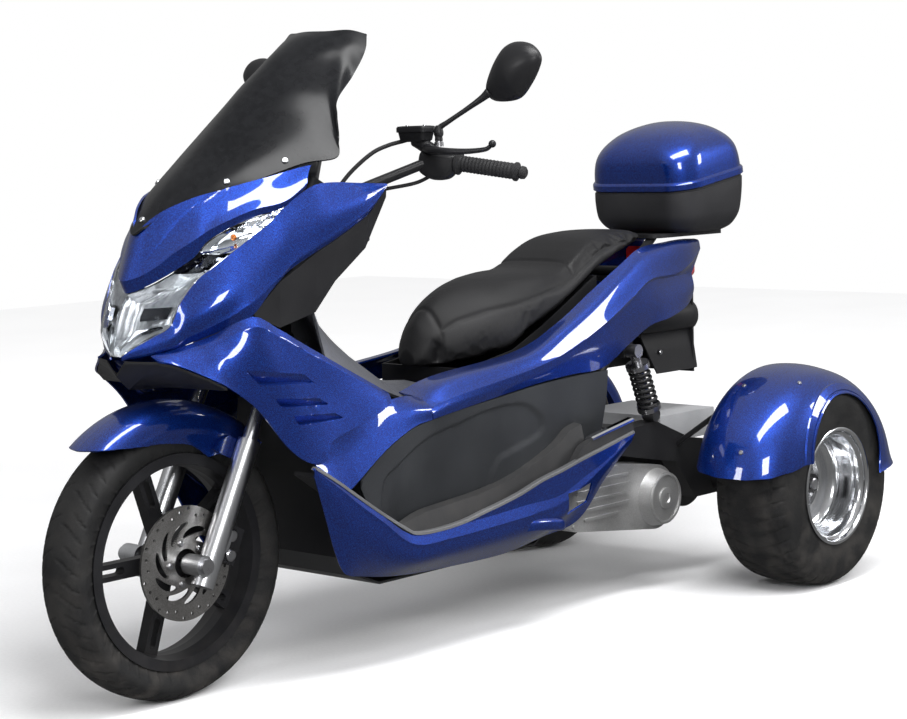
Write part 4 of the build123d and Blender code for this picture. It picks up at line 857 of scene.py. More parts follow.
boardEdge = {
    # black riser between board and panel: x, then (y, z) at the panel, of its ridge and at the board
    "riser": (
        (400, (200, 296), (212, 293), (218, 282)),
        (300, (182, 316), (203, 312), (214, 278)),
        (200, (178, 324), (199, 320), (212, 280)),
        (100, (176, 332), (198, 328), (211, 284)),
        (0, (178, 350), (198, 346), (211, 288)),
        (-90, (182, 378), (199, 374), (213, 293)),
        (-160, (184, 408), (202, 404), (222, 316)),
        (-200, (184, 434), (205, 430), (226, 334)),
        (-240, (184, 444), (206, 440), (230, 346)),
    ),
    "trim": ((645, 240, 457), (612, 241, 437), (573, 242, 412), (536, 244, 386), (470, 246, 342),
        (400, 248, 299), (366, 249, 284), (300, 250, 281), (220, 250, 286), (150, 250, 298), (100, 250, 306),
        (29, 250, 320), (-45, 249, 339), (-120, 249, 353), (-197, 248, 369), (-275, 248, 384),
        (-332, 247, 395), (-388, 247, 406)),
    # mouldings: (inwards, up)
    "riserWall": 0.003, "riserRows": 80, "riserFacets": ((0, 1, 4), (1, 2, 10)),
    "trimProfile": ((-1, -2), (15, -2), (15, 3), (12, 5), (1, 5), (-1, 3)),
    # blue flare from the skirt's edge up to the moulding, and the black heel guard above it, in side view
    "flare": ((260, 281), (220, 285), (150, 297), (100, 305), (29, 319), (-45, 338), (-120, 352), (-197, 368),
        (-275, 383), (-332, 394), (-390, 405), (-380, 396), (-289, 360), (-200, 326), (-103, 294), (27, 284),
        (150, 280)),
    "flareFrom": 234, "flareTo": 248,
    "guard": ((-168, 362), (-200, 396), (-237, 407), (-388, 432), (-394, 406), (-332, 394), (-275, 383),
        (-197, 368)), "guardFrom": 224, "guardTo": 242,
    "chrome": ((-234, 243, 406), (-308, 243, 419), (-390, 243, 433)),
    "chromeProfile": ((-2, 0), (20, 0), (20, 5), (16, 8), (2, 8), (-2, 5)),
}
riser = shell(*sheetMesh(creasedSheet(stations(boardEdge["riser"]), boardEdge["riserRows"],
    boardEdge["riserFacets"])), boardEdge["riserWall"])
heelGuard = prism(boardEdge["guard"], boardEdge["guardFrom"], boardEdge["guardTo"])
piece("boardRisers", mirrored(*joined(riser, heelGuard)), footRubber, "chassis")
piece("skirtFlares", mirrored(*prism(boardEdge["flare"], boardEdge["flareFrom"], boardEdge["flareTo"])),
    bluePaint, "chassis")
piece("boardTrim", mirrored(*stripAlong(boardEdge["trim"], boardEdge["trimProfile"])), trimGrey, "chassis")
piece("heelStrips", mirrored(*stripAlong(boardEdge["chrome"], boardEdge["chromeProfile"], 24)), chrome,
    "chassis")
print("skirts, panels and pegs")

# Tail covers: a shoulder that ends in a horn, and the lower side set back under it

tail = {
    "wall": 0.004, "rows": 120, "facets": ((0, 2, 26), (2, 3, 4), (3, 5, 16)),
    # points of the top edge, the shoulder, the horn's lower edge, the step under it, the side and the lower
    # edge
    "points": (
        ((284, 128, 566), (284, 188, 556), (284, 221, 538), (284, 221.5, 536), (284, 225, 526),
            (284, 226, 514)),
        ((189, 142, 593), (189, 190, 586), (189, 221, 556), (189, 221.5, 553), (189, 223, 540),
            (189, 221, 524)),
        ((-69, 154, 622), (-69, 196, 615), (-69, 216, 588), (-69, 216, 585), (-69, 214, 567),
            (-69, 209, 550)),
        ((-210, 160, 672), (-210, 194, 662), (-210, 212, 620), (-210, 212, 616), (-210, 209, 588),
            (-210, 203, 558)),
        ((-340, 158, 735), (-340, 190, 716), (-340, 206, 666), (-340, 205, 661), (-340, 202, 612),
            (-340, 196, 562)),
        ((-460, 154, 790), (-460, 178, 768), (-460, 192, 714), (-460, 189, 708), (-460, 188, 658),
            (-460, 183, 606)),
        ((-560, 140, 826), (-560, 162, 806), (-560, 177, 753), (-560, 170, 745), (-560, 173, 692),
            (-560, 170, 640)),
        ((-700, 112, 834), (-700, 139, 824), (-700, 151, 758), (-690, 138, 748), (-675, 150, 700),
            (-660, 158, 652)),
        ((-800, 92, 836), (-800, 117, 828), (-800, 125, 780), (-768, 120, 750), (-764, 130, 708),
            (-756, 134, 668)),
        ((-880, 76, 833), (-884, 87, 828), (-887, 90, 808), (-822, 108, 748), (-826, 112, 715),
            (-824, 108, 688)),
    ),
}
tailGrid = creasedSheet(np.array(tail["points"], float) * mm, tail["rows"], tail["facets"])
piece("tailCovers", mirrored(*shell(*sheetMesh(tailGrid), tail["wall"])), bluePaint, "chassis",
    ("tail_covers",), sharp=24)

hugger = {
    # left side in plan from the front to the rear, where it turns in beside the plate: x, y, outward x,
    # outward y, and how far the lower edge is drawn back
    "plan": ((-626, 95, 0, 1, 1), (-716, 96, 0, 1, 0.3), (-800, 96, 0, 1, 0), (-846, 93, -0.3, 0.95, 0),
        (-868, 84, -0.7, 0.7, 0), (-877, 70, -0.9, 0.4, 0)),
    # levels: z, distance outwards, share of the drawing back
    "levels": ((684, -20, 0), (672, -3, 0), (654, 7, 0), (630, 8, 0), (612, 0, 0.05), (602, -9, 0.15),
        (560, -3, 0.5), (507, 4, 1)), "drawnBack": 58,
    "wall": 0.004, "rows": 60, "cols": 50, "boltAt": (-700, 96, 560), "boltRadius": 6, "boltHeight": 4,
}
plan, levels = np.array(hugger["plan"], float)[:, None], np.array(hugger["levels"], float)[None]
huggerX = plan[..., 0] + plan[..., 2] * levels[..., 1] - hugger["drawnBack"] * plan[..., 4] * levels[..., 2]
huggerY = plan[..., 1] + plan[..., 3] * levels[..., 1]
leftWall = np.stack([huggerX, huggerY, np.broadcast_to(levels[..., 0], huggerX.shape)], axis=-1) * mm
huggerGrid = smoothSheet(leftWall, hugger["rows"], hugger["cols"])
piece("tailHugger", mirrored(*shell(*sheetMesh(huggerGrid), hugger["wall"])), blackSatin, "chassis")
piece("huggerBolts",
    mirrored(*studs([hugger["boltAt"]], (0, 1, 0), hugger["boltRadius"], hugger["boltHeight"])), groundSteel,
    "chassis")
print("tail covers")

# Smoked screen with its bolts

screen = {
    "wall": 0.004, "rows": 90, "cols": 61,
    # points of the ridge, the quarter, the shoulder and the edge, from the tip upwards
    "points": (
        ((890, 0, 931), (889, 6, 933), (886, 11, 937), (880, 17, 943)),
        ((812, 0, 1011), (804, 36, 1009), (795, 62, 1004), (786, 84, 998)),
        ((728, 0, 1079), (712, 58, 1074), (696, 104, 1058), (684, 142, 1031)),
        ((656, 0, 1141), (634, 68, 1133), (606, 130, 1108), (598, 182, 1060)),
        ((600, 0, 1192), (572, 68, 1184), (536, 134, 1152), (528, 206, 1070)),
        ((558, 0, 1228), (530, 66, 1220), (496, 128, 1194), (512, 196, 1100)),
        ((522, 0, 1257), (494, 62, 1249), (462, 118, 1226), (500, 180, 1150)),
        ((488, 0, 1283), (462, 58, 1276), (428, 108, 1258), (472, 160, 1188)),
        ((456, 0, 1304), (432, 56, 1299), (400, 104, 1286), (400, 134, 1236)),
        ((428, 0, 1320), (408, 54, 1317), (376, 98, 1310), (362, 133, 1288)),
        ((398, 0, 1332), (386, 46, 1331), (362, 88, 1332), (344, 122, 1322)),
    ),
    "bolts": ((868, 0, 955), (740, 110, 1032), (740, -110, 1032), (628, 168, 1074), (628, -168, 1074)),
}
half = np.array(screen["points"], float) * mm
screenControl = np.concatenate([(half * (1, -1, 1))[:, :0:-1], half], axis=1)
screenGrid = smoothSheet(screenControl, screen["rows"], screen["cols"])
screenVerts, screenFaces = sheetMesh(screenGrid)
piece("windScreen", shell(screenVerts, screenFaces, screen["wall"]), smokedScreen, "chassis",
    ("windscreen",))
screenNormals = pointNormals(screenVerts, screenFaces)
# each bolt sits on the sheet's nearest point and stands along its normal
seats = [np.argmin(np.linalg.norm(screenVerts - np.array(spot) * mm, axis=1)) for spot in screen["bolts"]]
piece("screenBolts", joined(*(studs(screenVerts[k:k + 1] / mm, screenNormals[k], 6.5, 4) for k in seats)),
    satinAlloy, "chassis")
print("screen")

# Rear fenders, front mudguard

fender = {
    "axle": (-820, 245), "wall": 0.004, "rows": 140, "cols": 58,
    # y and radius of the section from the inside round to the outside
    "section": ((316, 252), (316, 276), (326, 292), (346, 300), (388, 302), (430, 297), (480, 283),
        (520, 253), (540, 214), (547, 170), (547, 140)),
    # degrees above forward where shares of the section start, and where all end
    "startShare": (0, 0.06, 0.15, 0.3, 0.5, 0.65, 0.8, 0.92, 1),
    "startDegrees": (25, 17, 12, 10, 10, 12, 18, 26, 30), "end": 174,
    "stretch": (1.04, 0.955), "opening": (-832, 316), "openingRadius": 150, "least": 140,
    # band and rolled lip round the wheel opening: distance from its edge and rise
    "band": ((34, 0), (31, 3.2), (12, 3.2), (9.5, 1.2), (8, 1.2), (6.5, 4.6), (1.5, 5.2), (0, 3)),
    "flare": 7, "flareDegrees": 4,
    # bolts: degrees, and distance along the section
    "bolts": ((60, 89), (72, 204), (23, 163)),
}
fenderLine = throughPoints(np.array(fender["section"], float), 240)
fenderReach = np.concatenate([[0], np.cumsum(np.hypot(*np.diff(fenderLine, axis=0).T))])
fenderSlope = np.gradient(fenderLine, fenderReach, axis=0)


def onFender(along, lift):
    # y and radius at a distance along the section, lifted square to it, and that square direction
    y, radius, slopeY, slopeR = (np.interp(along, fenderReach, line)
        for line in (*fenderLine.T, *fenderSlope.T))
    return y - lift * slopeR, radius + lift * slopeY, -slopeR, slopeY


bandBack, bandRise = np.array(fender["band"], float).T
column = np.concatenate([np.linspace(0, 1, fender["cols"], endpoint=False), np.ones(len(bandBack))])[None, :]
columnOn = np.concatenate([np.zeros(fender["cols"]), bandBack[0] - bandBack])[None, :]
columnRise = np.concatenate([np.zeros(fender["cols"]), bandRise])[None, :]
placeShare = (column * (fenderReach[-1] - bandBack[0]) + columnOn) / fenderReach[-1]
startAngle = np.interp(placeShare, fender["startShare"], fender["startDegrees"])
degrees = startAngle + (fender["end"] - startAngle) * np.linspace(0, 1, fender["rows"])[:, None]
cosine = fender["stretch"][0] * np.cos(np.radians(degrees))
sine = fender["stretch"][1] * np.sin(np.radians(degrees))
# distance from the axle to the opening's circle in each direction
aside = np.subtract(fender["opening"], fender["axle"])
toward = cosine * aside[0] + sine * aside[1]
square = cosine ** 2 + sine ** 2
openEdge = (toward + np.sqrt(toward ** 2 + square * (fender["openingRadius"] ** 2 - aside @ aside))) / square
openEdge = np.maximum(openEdge, fender["least"])
crown = np.argmax(fenderLine[:, 1])
endReach = np.interp(-openEdge, -fenderLine[crown:, 1], fenderReach[crown:])
flareRise = fender["flare"] * np.exp((degrees - fender["end"])
    / fender["flareDegrees"]) * np.clip((placeShare - 0.5) / 0.2, 0, 1)
y, radius, _, _ = onFender(column * (endReach - bandBack[0]) + columnOn, columnRise + flareRise)
fenderGrid = np.stack([fender["axle"][0] + radius * cosine, y, fender["axle"][1] + radius * sine],
    axis=-1) * mm
piece("rearFenders", mirrored(*shell(*sheetMesh(fenderGrid), fender["wall"])), bluePaint, "chassis",
    ("rear_fenders",), sharp=30)
fenderBolts = []
for angle, along in fender["bolts"]:
    y, radius, outY, outR = onFender(along, 0)
    cosine = fender["stretch"][0] * math.cos(math.radians(angle))
    sine = fender["stretch"][1] * math.sin(math.radians(angle))
    spot = (fender["axle"][0] + radius * cosine, y, fender["axle"][1] + radius * sine)
    fenderBolts.append(studs([spot], (outR * cosine, outY, outR * sine), 5.5, 3.5))
piece("fenderBolts", mirrored(*joined(*fenderBolts)), groundSteel, "chassis")

guard = {
    "axle": (840, 280), "wall": 0.004, "rows": 90, "cols": 28,
    # radius and half width of the section from the skirt's lowest reach up to the crown
    "radius": (205, 250, 284, 303, 314, 320, 322), "halfWidth": (66, 66, 65, 57, 43, 24, 0),
    # lower edge: degrees above forward and radius there
    "edgeDegrees": (50, 56, 62, 70, 84, 96, 108, 120, 131, 140),
    "edgeRadius": (321, 298, 278, 260, 243, 234, 214, 238, 300, 319),
}
guardAngles = np.linspace(guard["edgeDegrees"][0], guard["edgeDegrees"][-1], guard["rows"])
guardLow = np.interp(guardAngles, guard["edgeDegrees"], guard["edgeRadius"])
steps = np.hypot(np.diff(guard["radius"]), np.diff(guard["halfWidth"]))
reach = np.concatenate([[0], np.cumsum(steps)]) / steps.sum()
lowReach = np.interp(guardLow, guard["radius"], reach)
share = lowReach[:, None] + (1 - lowReach[:, None]) * np.linspace(0, 1, guard["cols"])[None, :]
fine = throughPoints(np.column_stack([guard["radius"], guard["halfWidth"], reach]), 80)
guardRadius, guardHalf = np.interp(share, fine[:, 2], fine[:, 0]) * mm, np.interp(share, fine[:, 2],
    fine[:, 1]) * mm
# a soft crease runs back along the side, a little proud of the skirt
crease = np.exp(-((guardRadius - 0.268) / 0.006) ** 2) * 0.0025 * np.clip((guardAngles[:, None] - 60) / 12, 0,
    1)
guardHalf = guardHalf + crease
turnAngle = np.radians(guardAngles)[:, None]
leftHalf = np.stack([guard["axle"][0] * mm + guardRadius * np.cos(turnAngle), guardHalf,
    guard["axle"][1] * mm + guardRadius * np.sin(turnAngle)], axis=-1)
guardGrid = np.concatenate([leftHalf * (1, -1, 1), leftHalf[:, -2::-1]], axis=1)
guardMesh = shell(*sheetMesh(guardGrid), guard["wall"])
forkTab = {
    # side view (x, z) of the plate that covers the fork's lower bracket, and its y
    "outline": ((767, 500), (746, 487), (724, 476), (697, 480), (669, 486), (690, 505), (723, 522),
        (748, 514)), "from": 66, "to": 74,
}
piece("frontMudguard",
    joined(guardMesh, mirrored(*prism(forkTab["outline"], forkTab["from"], forkTab["to"]))), bluePaint,
    "steering", ("front_mudguard",), sharp=36)
print("fenders and mudguard")

# Top box

box = {
    "centre": -877, "seam": 978, "tilt": 9, "rack": 852, "wall": 0.004,
    # lid: height above the seam, length, width, corner radius
    "belt": ((0.6, 296, 322, 74), (3, 303, 329, 76), (16, 303, 329, 76), (20, 298, 324, 74),
        (22, 293, 319, 73)),
    "dome": ((22, 293, 319, 73), (50, 291, 317, 76), (76, 284, 309, 80), (97, 266, 290, 83),
        (115, 236, 258, 82), (131, 192, 212, 74), (143, 134, 148, 56), (150, 72, 80, 34),
        (152.5, 10, 10, 4.8)),
    # tub: share of the way from the rack to the seam, length, width, corner radius
    "tub": ((0, 186, 206, 36), (0.03, 212, 232, 42), (0.12, 246, 268, 52), (0.3, 274, 298, 60),
        (0.5, 286, 311, 66), (0.75, 293, 319, 71), (0.94, 295, 321, 73), (0.965, 290, 316, 71),
        (0.995, 290, 316, 71)),
}


def roundedLoops(length, width, corner, perCorner=10):
    # rounded rectangles, one a row: four quarter circles about the corners' centres
    quarter = np.linspace(0, np.pi / 2, perCorner)
    angles = np.concatenate([quarter + k * np.pi / 2 for k in range(4)])
    signs = np.repeat(np.array([(1, 1), (-1, 1), (-1, -1), (1, -1)], float), perCorner, axis=0)
    corner = np.minimum(corner, np.minimum(length, width) / 2 - 0.05)[:, None]
    u = signs[None, :, 0] * (length[:, None] / 2 - corner) + corner * np.cos(angles)
    v = signs[None, :, 1] * (width[:, None] / 2 - corner) + corner * np.sin(angles)
    return u * mm, v * mm


lidRows = np.concatenate([np.array(box["belt"], float), throughPoints(np.array(box["dome"], float), 44)[1:]])
u, v = roundedLoops(*lidRows[:, 1:].T)
lean = math.radians(box["tilt"])
rise = lidRows[:, :1] * mm
lidGrid = np.stack([box["centre"] * mm + u * math.cos(lean) + rise * math.sin(lean), v,
    box["seam"] * mm - u * math.sin(lean) + rise * math.cos(lean)], axis=-1)
sides = lidGrid.shape[1]
lidFaces = np.concatenate([gridFaces(len(lidRows), sides, closeCols=True),
    ringCap(sides) + (len(lidRows) - 1) * sides])
lidMesh = shell(lidGrid.reshape(-1, 3), lidFaces, box["wall"])
piece("topBoxLid", lidMesh, bluePaint, "box_lid", ("top_box_lid",), sharp=28)

tubRows = throughPoints(np.array(box["tub"][:7], float), 30)
tubRows = np.concatenate([tubRows, np.array(box["tub"][7:], float)])
u, v = roundedLoops(*tubRows[:, 1:].T)
seamHeight = box["seam"] * mm - u * math.tan(lean)
tubGrid = np.stack([box["centre"] * mm + u, v,
    box["rack"] * mm + tubRows[:, :1] * (seamHeight - box["rack"] * mm)], axis=-1)
tubFaces = np.concatenate([gridFaces(len(tubRows), sides, closeCols=True), ringCap(sides)[:, ::-1]])
piece("topBoxBase", shell(tubGrid.reshape(-1, 3), tubFaces, box["wall"]), blackTextured, "chassis",
    ("top_box_base",), sharp=28)
print("top box")

# Seat: a stitched cover over foam, swelled by a short cloth run

seatShape = {
    # x, half width, underside, top of the foam before it swells, and how full the section stands over its
    # widest level
    "sections": (
        (126, 20, 600, 634, 1.7), (108, 40, 598, 668, 1.6), (84, 58, 598, 702, 1.5), (30, 96, 603, 744, 1.5),
        (-40, 124, 612, 766, 1.7), (-110, 138, 626, 772, 2.1),
        (-206, 146, 671, 777, 2.6), (-280, 146, 706, 779, 2.7), (-326, 145, 731, 790, 2.8),
        (-380, 142, 762, 820, 2.8), (-440, 136, 790, 845, 2.8),
        (-520, 128, 817, 854, 2.7), (-590, 116, 834, 855, 2.6), (-632, 100, 841, 852, 2.4),
    ),
    "rows": 110, "around": 56, "waist": 0.3, "voxel": 0.0054, "pressure": 4.0, "cap": 0.016,
}
seatRows = throughPoints(np.array(seatShape["sections"], float), seatShape["rows"])
turn = np.linspace(0, 2 * np.pi, seatShape["around"], endpoint=False)[None, :]
c, s = np.cos(turn), np.sin(turn)
seatRise = seatRows[:, 3:4] - seatRows[:, 2:3]
seatMid = seatRows[:, 2:3] + seatShape["waist"] * seatRise
seatGrid = np.empty((seatShape["rows"], seatShape["around"], 3))
seatGrid[..., 0] = seatRows[:, :1]
# superellipse over the waist, with the fullness as its power; below it a flat underside with rounded edges
power = np.where(s > 0, 2 / seatRows[:, 4:5], 0.42)
seatGrid[..., 1] = seatRows[:, 1:2] * np.sign(c) * np.abs(c) ** power
seatGrid[..., 2] = seatMid + np.where(s > 0, 1 - seatShape["waist"],
    seatShape["waist"]) * seatRise * np.sign(s) * np.abs(s) ** power
n, m = seatShape["rows"], seatShape["around"]
seatFaces = tubeFaces(n, m)
seat = piece("seatCover", (seatGrid.reshape(-1, 3) * mm, seatFaces), seatLeather, "seat",
    ("seat",), sharp=60)


def swell(obj, voxel, pressure, cap):
    # foam pressing its cover out: an even remesh, twenty frames of cloth under pressure, and no point further
    # than the cap
    scene = bpy.context.scene
    remesh = modify(obj, "REMESH", mode="VOXEL", voxel_size=voxel)
    bpy.context.view_layer.objects.active = obj
    bpy.ops.object.modifier_apply(modifier=remesh.name)
    rest = np.empty(len(obj.data.vertices) * 3)
    obj.data.vertices.foreach_get("co", rest)
    cloth = modify(obj, "CLOTH")
    cloth.settings.use_pressure = True
    cloth.settings.uniform_pressure_force = pressure
    cloth.settings.quality = 5
    cloth.settings.effector_weights.gravity = 0
    for number in range(1, 21):
        scene.frame_set(number)
    bpy.ops.object.modifier_apply(modifier=cloth.name)
    scene.frame_set(1)
    moved = np.empty_like(rest)
    obj.data.vertices.foreach_get("co", moved)
    rest, moved = rest.reshape(-1, 3), moved.reshape(-1, 3)
    step = moved - rest
    length = np.linalg.norm(step, axis=1, keepdims=True)
    # the underside lies on its base and does not sink below it
    step = np.where(step[:, 2:] < 0, step * (1, 1, 0.1), step)
    kept = rest + step * np.minimum(1, cap / np.maximum(length, 1e-9))
    obj.data.vertices.foreach_set("co", kept.reshape(-1))
    obj.data.polygons.foreach_set("use_smooth", np.full(len(obj.data.polygons), True))
    obj.data.update()


swell(seat, seatShape["voxel"], seatShape["pressure"], seatShape["cap"])


def stitch(obj, seams):
    # seams as grooves in the finished cover, each a bell curve of the distance from its line; the flanks lie
    # under the side seam
    count = len(obj.data.vertices)
    places, outward = np.empty(count * 3), np.empty(count * 3)
    obj.data.vertices.foreach_get("co", places)
    obj.data.vertex_normals.foreach_get("vector", outward)
    places, outward = places.reshape(-1, 3), outward.reshape(-1, 3)
    x, y, z = places.T / mm
    sections = np.array(seatShape["sections"])
    low, high = (np.interp(-x, -sections[:, 0], sections[:, k]) for k in (2, 3))
    toNose = x - seams["nose"] + seams["noseLean"] * (z - low)
    toSide = z - low - seams["side"] * (high - low)
    toStep = x - seams["step"]
    bells = (
        np.exp(-(toNose / seams["width"]) ** 2) * (z > low + seams["hem"]),
        np.exp(-(toSide / seams["width"]) ** 2) * (toNose < 0) * (np.abs(y) > seams["middle"]),
        np.exp(-(toStep / seams["width"]) ** 2) * (toSide > 0),
    )
    places -= outward * (np.max(bells, axis=0) * seams["depth"] * mm)[:, None]
    obj.data.vertices.foreach_set("co", places.reshape(-1))
    flank = np.clip(-toSide / seams["blend"], 0, 1) * np.clip(-toNose / seams["blend"], 0, 1)
    obj.data.attributes.new("flank", "FLOAT", "POINT").data.foreach_set("value", flank)
    obj.data.update()


seatSeams = {
    "nose": 78, "noseLean": 0.12, "side": 0.66, "step": -330, "middle": 45, "width": 4.5, "depth": 3,
    "hem": 8, "blend": 6,
}
stitch(seat, seatSeams)
modify(seat, "SUBSURF", levels=1, render_levels=1)
print("seat")

# Tyres: a rounded carcass with the tread cut into its crown


def tyreMesh(spec, axle, treadDepth):
    # the section runs bead to bead over the crown and back inside; the depth at each point comes from the
    # tread's rule
    half = np.array(spec["half"], float)
    outer = throughPoints(np.concatenate([half * (-1, 1), half[-2::-1]]), spec["cols"])
    inner = np.array(spec["inside"], float)
    section = np.concatenate([outer, inner])
    turn = np.linspace(0, 2 * np.pi, spec["rows"], endpoint=False)[:, None]
    y = np.broadcast_to(section[None, :, 0], (spec["rows"], len(section)))
    depth = treadDepth(turn, y, spec)
    depth[:, spec["cols"]:] = 0
    radius = section[None, :, 1] - depth
    grid = np.stack([axle[0] + radius * np.cos(turn), axle[1] + y, axle[2] + radius * np.sin(turn)],
        axis=-1) * mm
    faces = gridFaces(spec["rows"], len(section), closeRows=True, closeCols=True)
    return grid.reshape(-1, 3), faces


def edgeStep(value, width):
    # one inside the groove, falling to nothing over its soft edge
    return np.clip((width - np.abs(value)) / (0.35 * width), 0, 1)


def roadTread(turn, y, spec):
    # curved sipes from near the middle out to the shoulder, long and short ones taking turns, offset between
    # the sides
    out = np.abs(y) / spec["crown"]
    count = spec["sipes"]
    lap = turn / (2 * np.pi) * count + np.where(y > 0, 0.5, 0.0) + spec["sweep"] * out ** 1.6
    phase = (lap + 0.5) % 1 - 0.5
    longOne = np.floor(lap + 0.5) % 2 == 0
    reach = np.clip((out - np.where(longOne, 0.10, 0.42)) / 0.08, 0, 1) * np.clip((0.98 - out) / 0.06, 0, 1)
    return spec["depth"] * edgeStep(phase, spec["width"]) * reach


def wideTread(turn, y, spec):
    # two lines round the middle and shallow slanted cuts that meet in a wide V
    out = np.abs(y) / spec["crown"]
    lap = turn / (2 * np.pi) * spec["sipes"] - spec["sweep"] * out
    phase = (lap + 0.5) % 1 - 0.5
    slant = edgeStep(phase, spec["width"]) * np.clip((out - 0.16) / 0.05, 0, 1) * np.clip((1.0 - out) / 0.06,
        0, 1)
    lines = edgeStep(np.abs(y) - 0.13 * spec["crown"], 3.2) + edgeStep(np.abs(y) - 0.62 * spec["crown"], 2.6)
    return spec["depth"] * np.maximum(slant, np.clip(lines, 0, 1))


frontTyre = {
    "rows": 720, "cols": 50, "crown": 56, "sipes": 52, "sweep": 1.15, "width": 0.085, "depth": 3.2,
    "half": ((38.6, 205), (40, 216), (46, 226), (53, 239), (56, 250), (54.5, 258), (49, 266), (40, 272.5),
        (28, 277), (14, 279.4), (0, 280)),
    "inside": ((34, 207), (0, 208), (-34, 207)),
}
rearTyre = {
    "rows": 480, "cols": 58, "crown": 98, "sipes": 44, "sweep": 0.9, "width": 0.075, "depth": 3.0,
    "half": ((96.6, 131), (98, 143), (101, 158), (103, 182), (102, 206), (97, 224), (86, 235), (66, 241),
        (40, 244), (0, 245)),
    "inside": ((90, 133), (0, 134), (-90, 133)),
}
piece("frontTyre", tyreMesh(frontTyre, (840, 0, 280), roadTread), tyreRubber, "front_wheel",
    ("front_tyre",), sharp=48)
for side, sign in (("left", 1), ("right", -1)):
    piece(f"rearTyre_{side}", tyreMesh(rearTyre, (-820, sign * 430, 245), wideTread), tyreRubber,
        f"rear_wheel_{side}", (f"rear_tyre_{side}",), sharp=48)
print("tyres")

# Rear rims: deep polished dishes with a hub and four nuts

rearRim = {
    # outboard distance and radius, from the lip into the dish and back round the tyre's seat
    "section": (
        (96.4, 141.5), (102, 142), (103.4, 140), (103.4, 135), (101, 132.5), (96, 131.5), (93.5, 129),
        (91, 124), (86, 121), (60, 118.5), (34, 116), (22, 112), (14, 105), (10, 94),
        (8, 80), (4, 68), (-5, 63), (-8, 54), (-8, 24.2), (-22, 24.2), (-22, 66), (-14, 104), (-30, 121.5),
        (-96, 121.5), (-102, 122), (-102, 142), (-96.4, 142), (-96.4, 129.6), (96.4, 129.6),
    ),
    "nuts": 4, "nutCircle": 44,
}
for side, sign in (("left", 1), ("right", -1)):
    centre = (-820, sign * 430, 245)
    rim = turned(rearRim["section"], centre, 96, (0, sign, 0), closed=True)
    spots = 2 * np.pi * (np.arange(rearRim["nuts"]) + 0.5) / rearRim["nuts"]
    nutPlaces = np.column_stack([-820 + rearRim["nutCircle"] * np.cos(spots),
        np.full(rearRim["nuts"], sign * (430 - 8)), 245 + rearRim["nutCircle"] * np.sin(spots)])
    nuts = studs(nutPlaces, (0, sign, 0), 10, 15, 6)
    cap = turned(((-7, 31), (8, 31), (15, 27), (19, 16), (36, 14), (38, 11)), centre, 32, (0, sign, 0))
    piece(f"rearRim_{side}", (rim[0], rim[1][:, ::-1]), polishedAlloy, f"rear_wheel_{side}",
        (f"rear_rim_{side}",), sharp=40)
    piece(f"hubNuts_{side}", joined(nuts, cap), groundSteel, f"rear_wheel_{side}")
print("rear rims")

# Front brake disc, drilled and windowed

disc = {"axle": (840, 280), "y": 63, "inner": 29, "outer": 115, "wall": 0.005, "turns": 360, "rings": 36,
    "holes": 30, "holeRadius": 3.6, "windows": 10, "bolts": 5}
turn = np.linspace(0, 2 * np.pi, disc["turns"], endpoint=False)[:, None]
radius = np.linspace(disc["outer"], disc["inner"], disc["rings"])[None, :]
discGrid = np.stack([disc["axle"][0] + radius * np.cos(turn),
    np.full((disc["turns"], disc["rings"]), float(disc["y"])), disc["axle"][1] + radius * np.sin(turn)],
    axis=-1) * mm
discMesh = (discGrid.reshape(-1, 3), gridFaces(disc["turns"], disc["rings"], closeRows=True))
small = np.linspace(0, 2 * np.pi, 14, endpoint=False)
for k in range(disc["holes"]):
    # the drilled holes climb and fall in threes across the friction ring
    spot, ringRadius = 2 * np.pi * k / disc["holes"], (97, 103, 109)[k % 3]
    outline = np.column_stack([disc["axle"][0] + ringRadius * math.cos(spot) + disc["holeRadius"]
        * np.cos(small), disc["axle"][1] + ringRadius * math.sin(spot) + disc["holeRadius"]
        * np.sin(small)]) * mm
    discMesh = cutOut(*discMesh, outline)
petal = np.linspace(0, 2 * np.pi, 30, endpoint=False)
for k in range(disc["windows"]):
    # a swept petal: an ellipse bent along a spiral
    swing = 2 * np.pi * k / disc["windows"] + 0.42 * np.cos(petal) + 0.085 * np.sin(petal)
    ringRadius = 66 + 15 * np.cos(petal) - 5 * np.sin(petal)
    outline = np.column_stack([disc["axle"][0] + ringRadius * np.cos(swing),
        disc["axle"][1] + ringRadius * np.sin(swing)]) * mm
    discMesh = cutOut(*discMesh, outline)
discMesh = shell(discMesh[0], discMesh[1], disc["wall"])
carrier = turned(((-21, 36), (-4, 36), (-4, 29), (-21, 29)), (840, 63, 280), 48, closed=True)
spots = 2 * np.pi * np.arange(disc["bolts"]) / disc["bolts"]
discBolts = studs(np.column_stack([840 + 43 * np.cos(spots), np.full(disc["bolts"], 63.0),
    280 + 43 * np.sin(spots)]), (0, 1, 0), 6.5, 5, 12)
piece("brakeDisc", joined(discMesh, (carrier[0], carrier[1][:, ::-1])), discSteel, "front_wheel",
    ("brake_disc",), sharp=30)
piece("discBolts", discBolts, groundSteel, "front_wheel")
print("brake disc")

# Mirrors: a moulded teardrop shell, its glass and a bent stalk

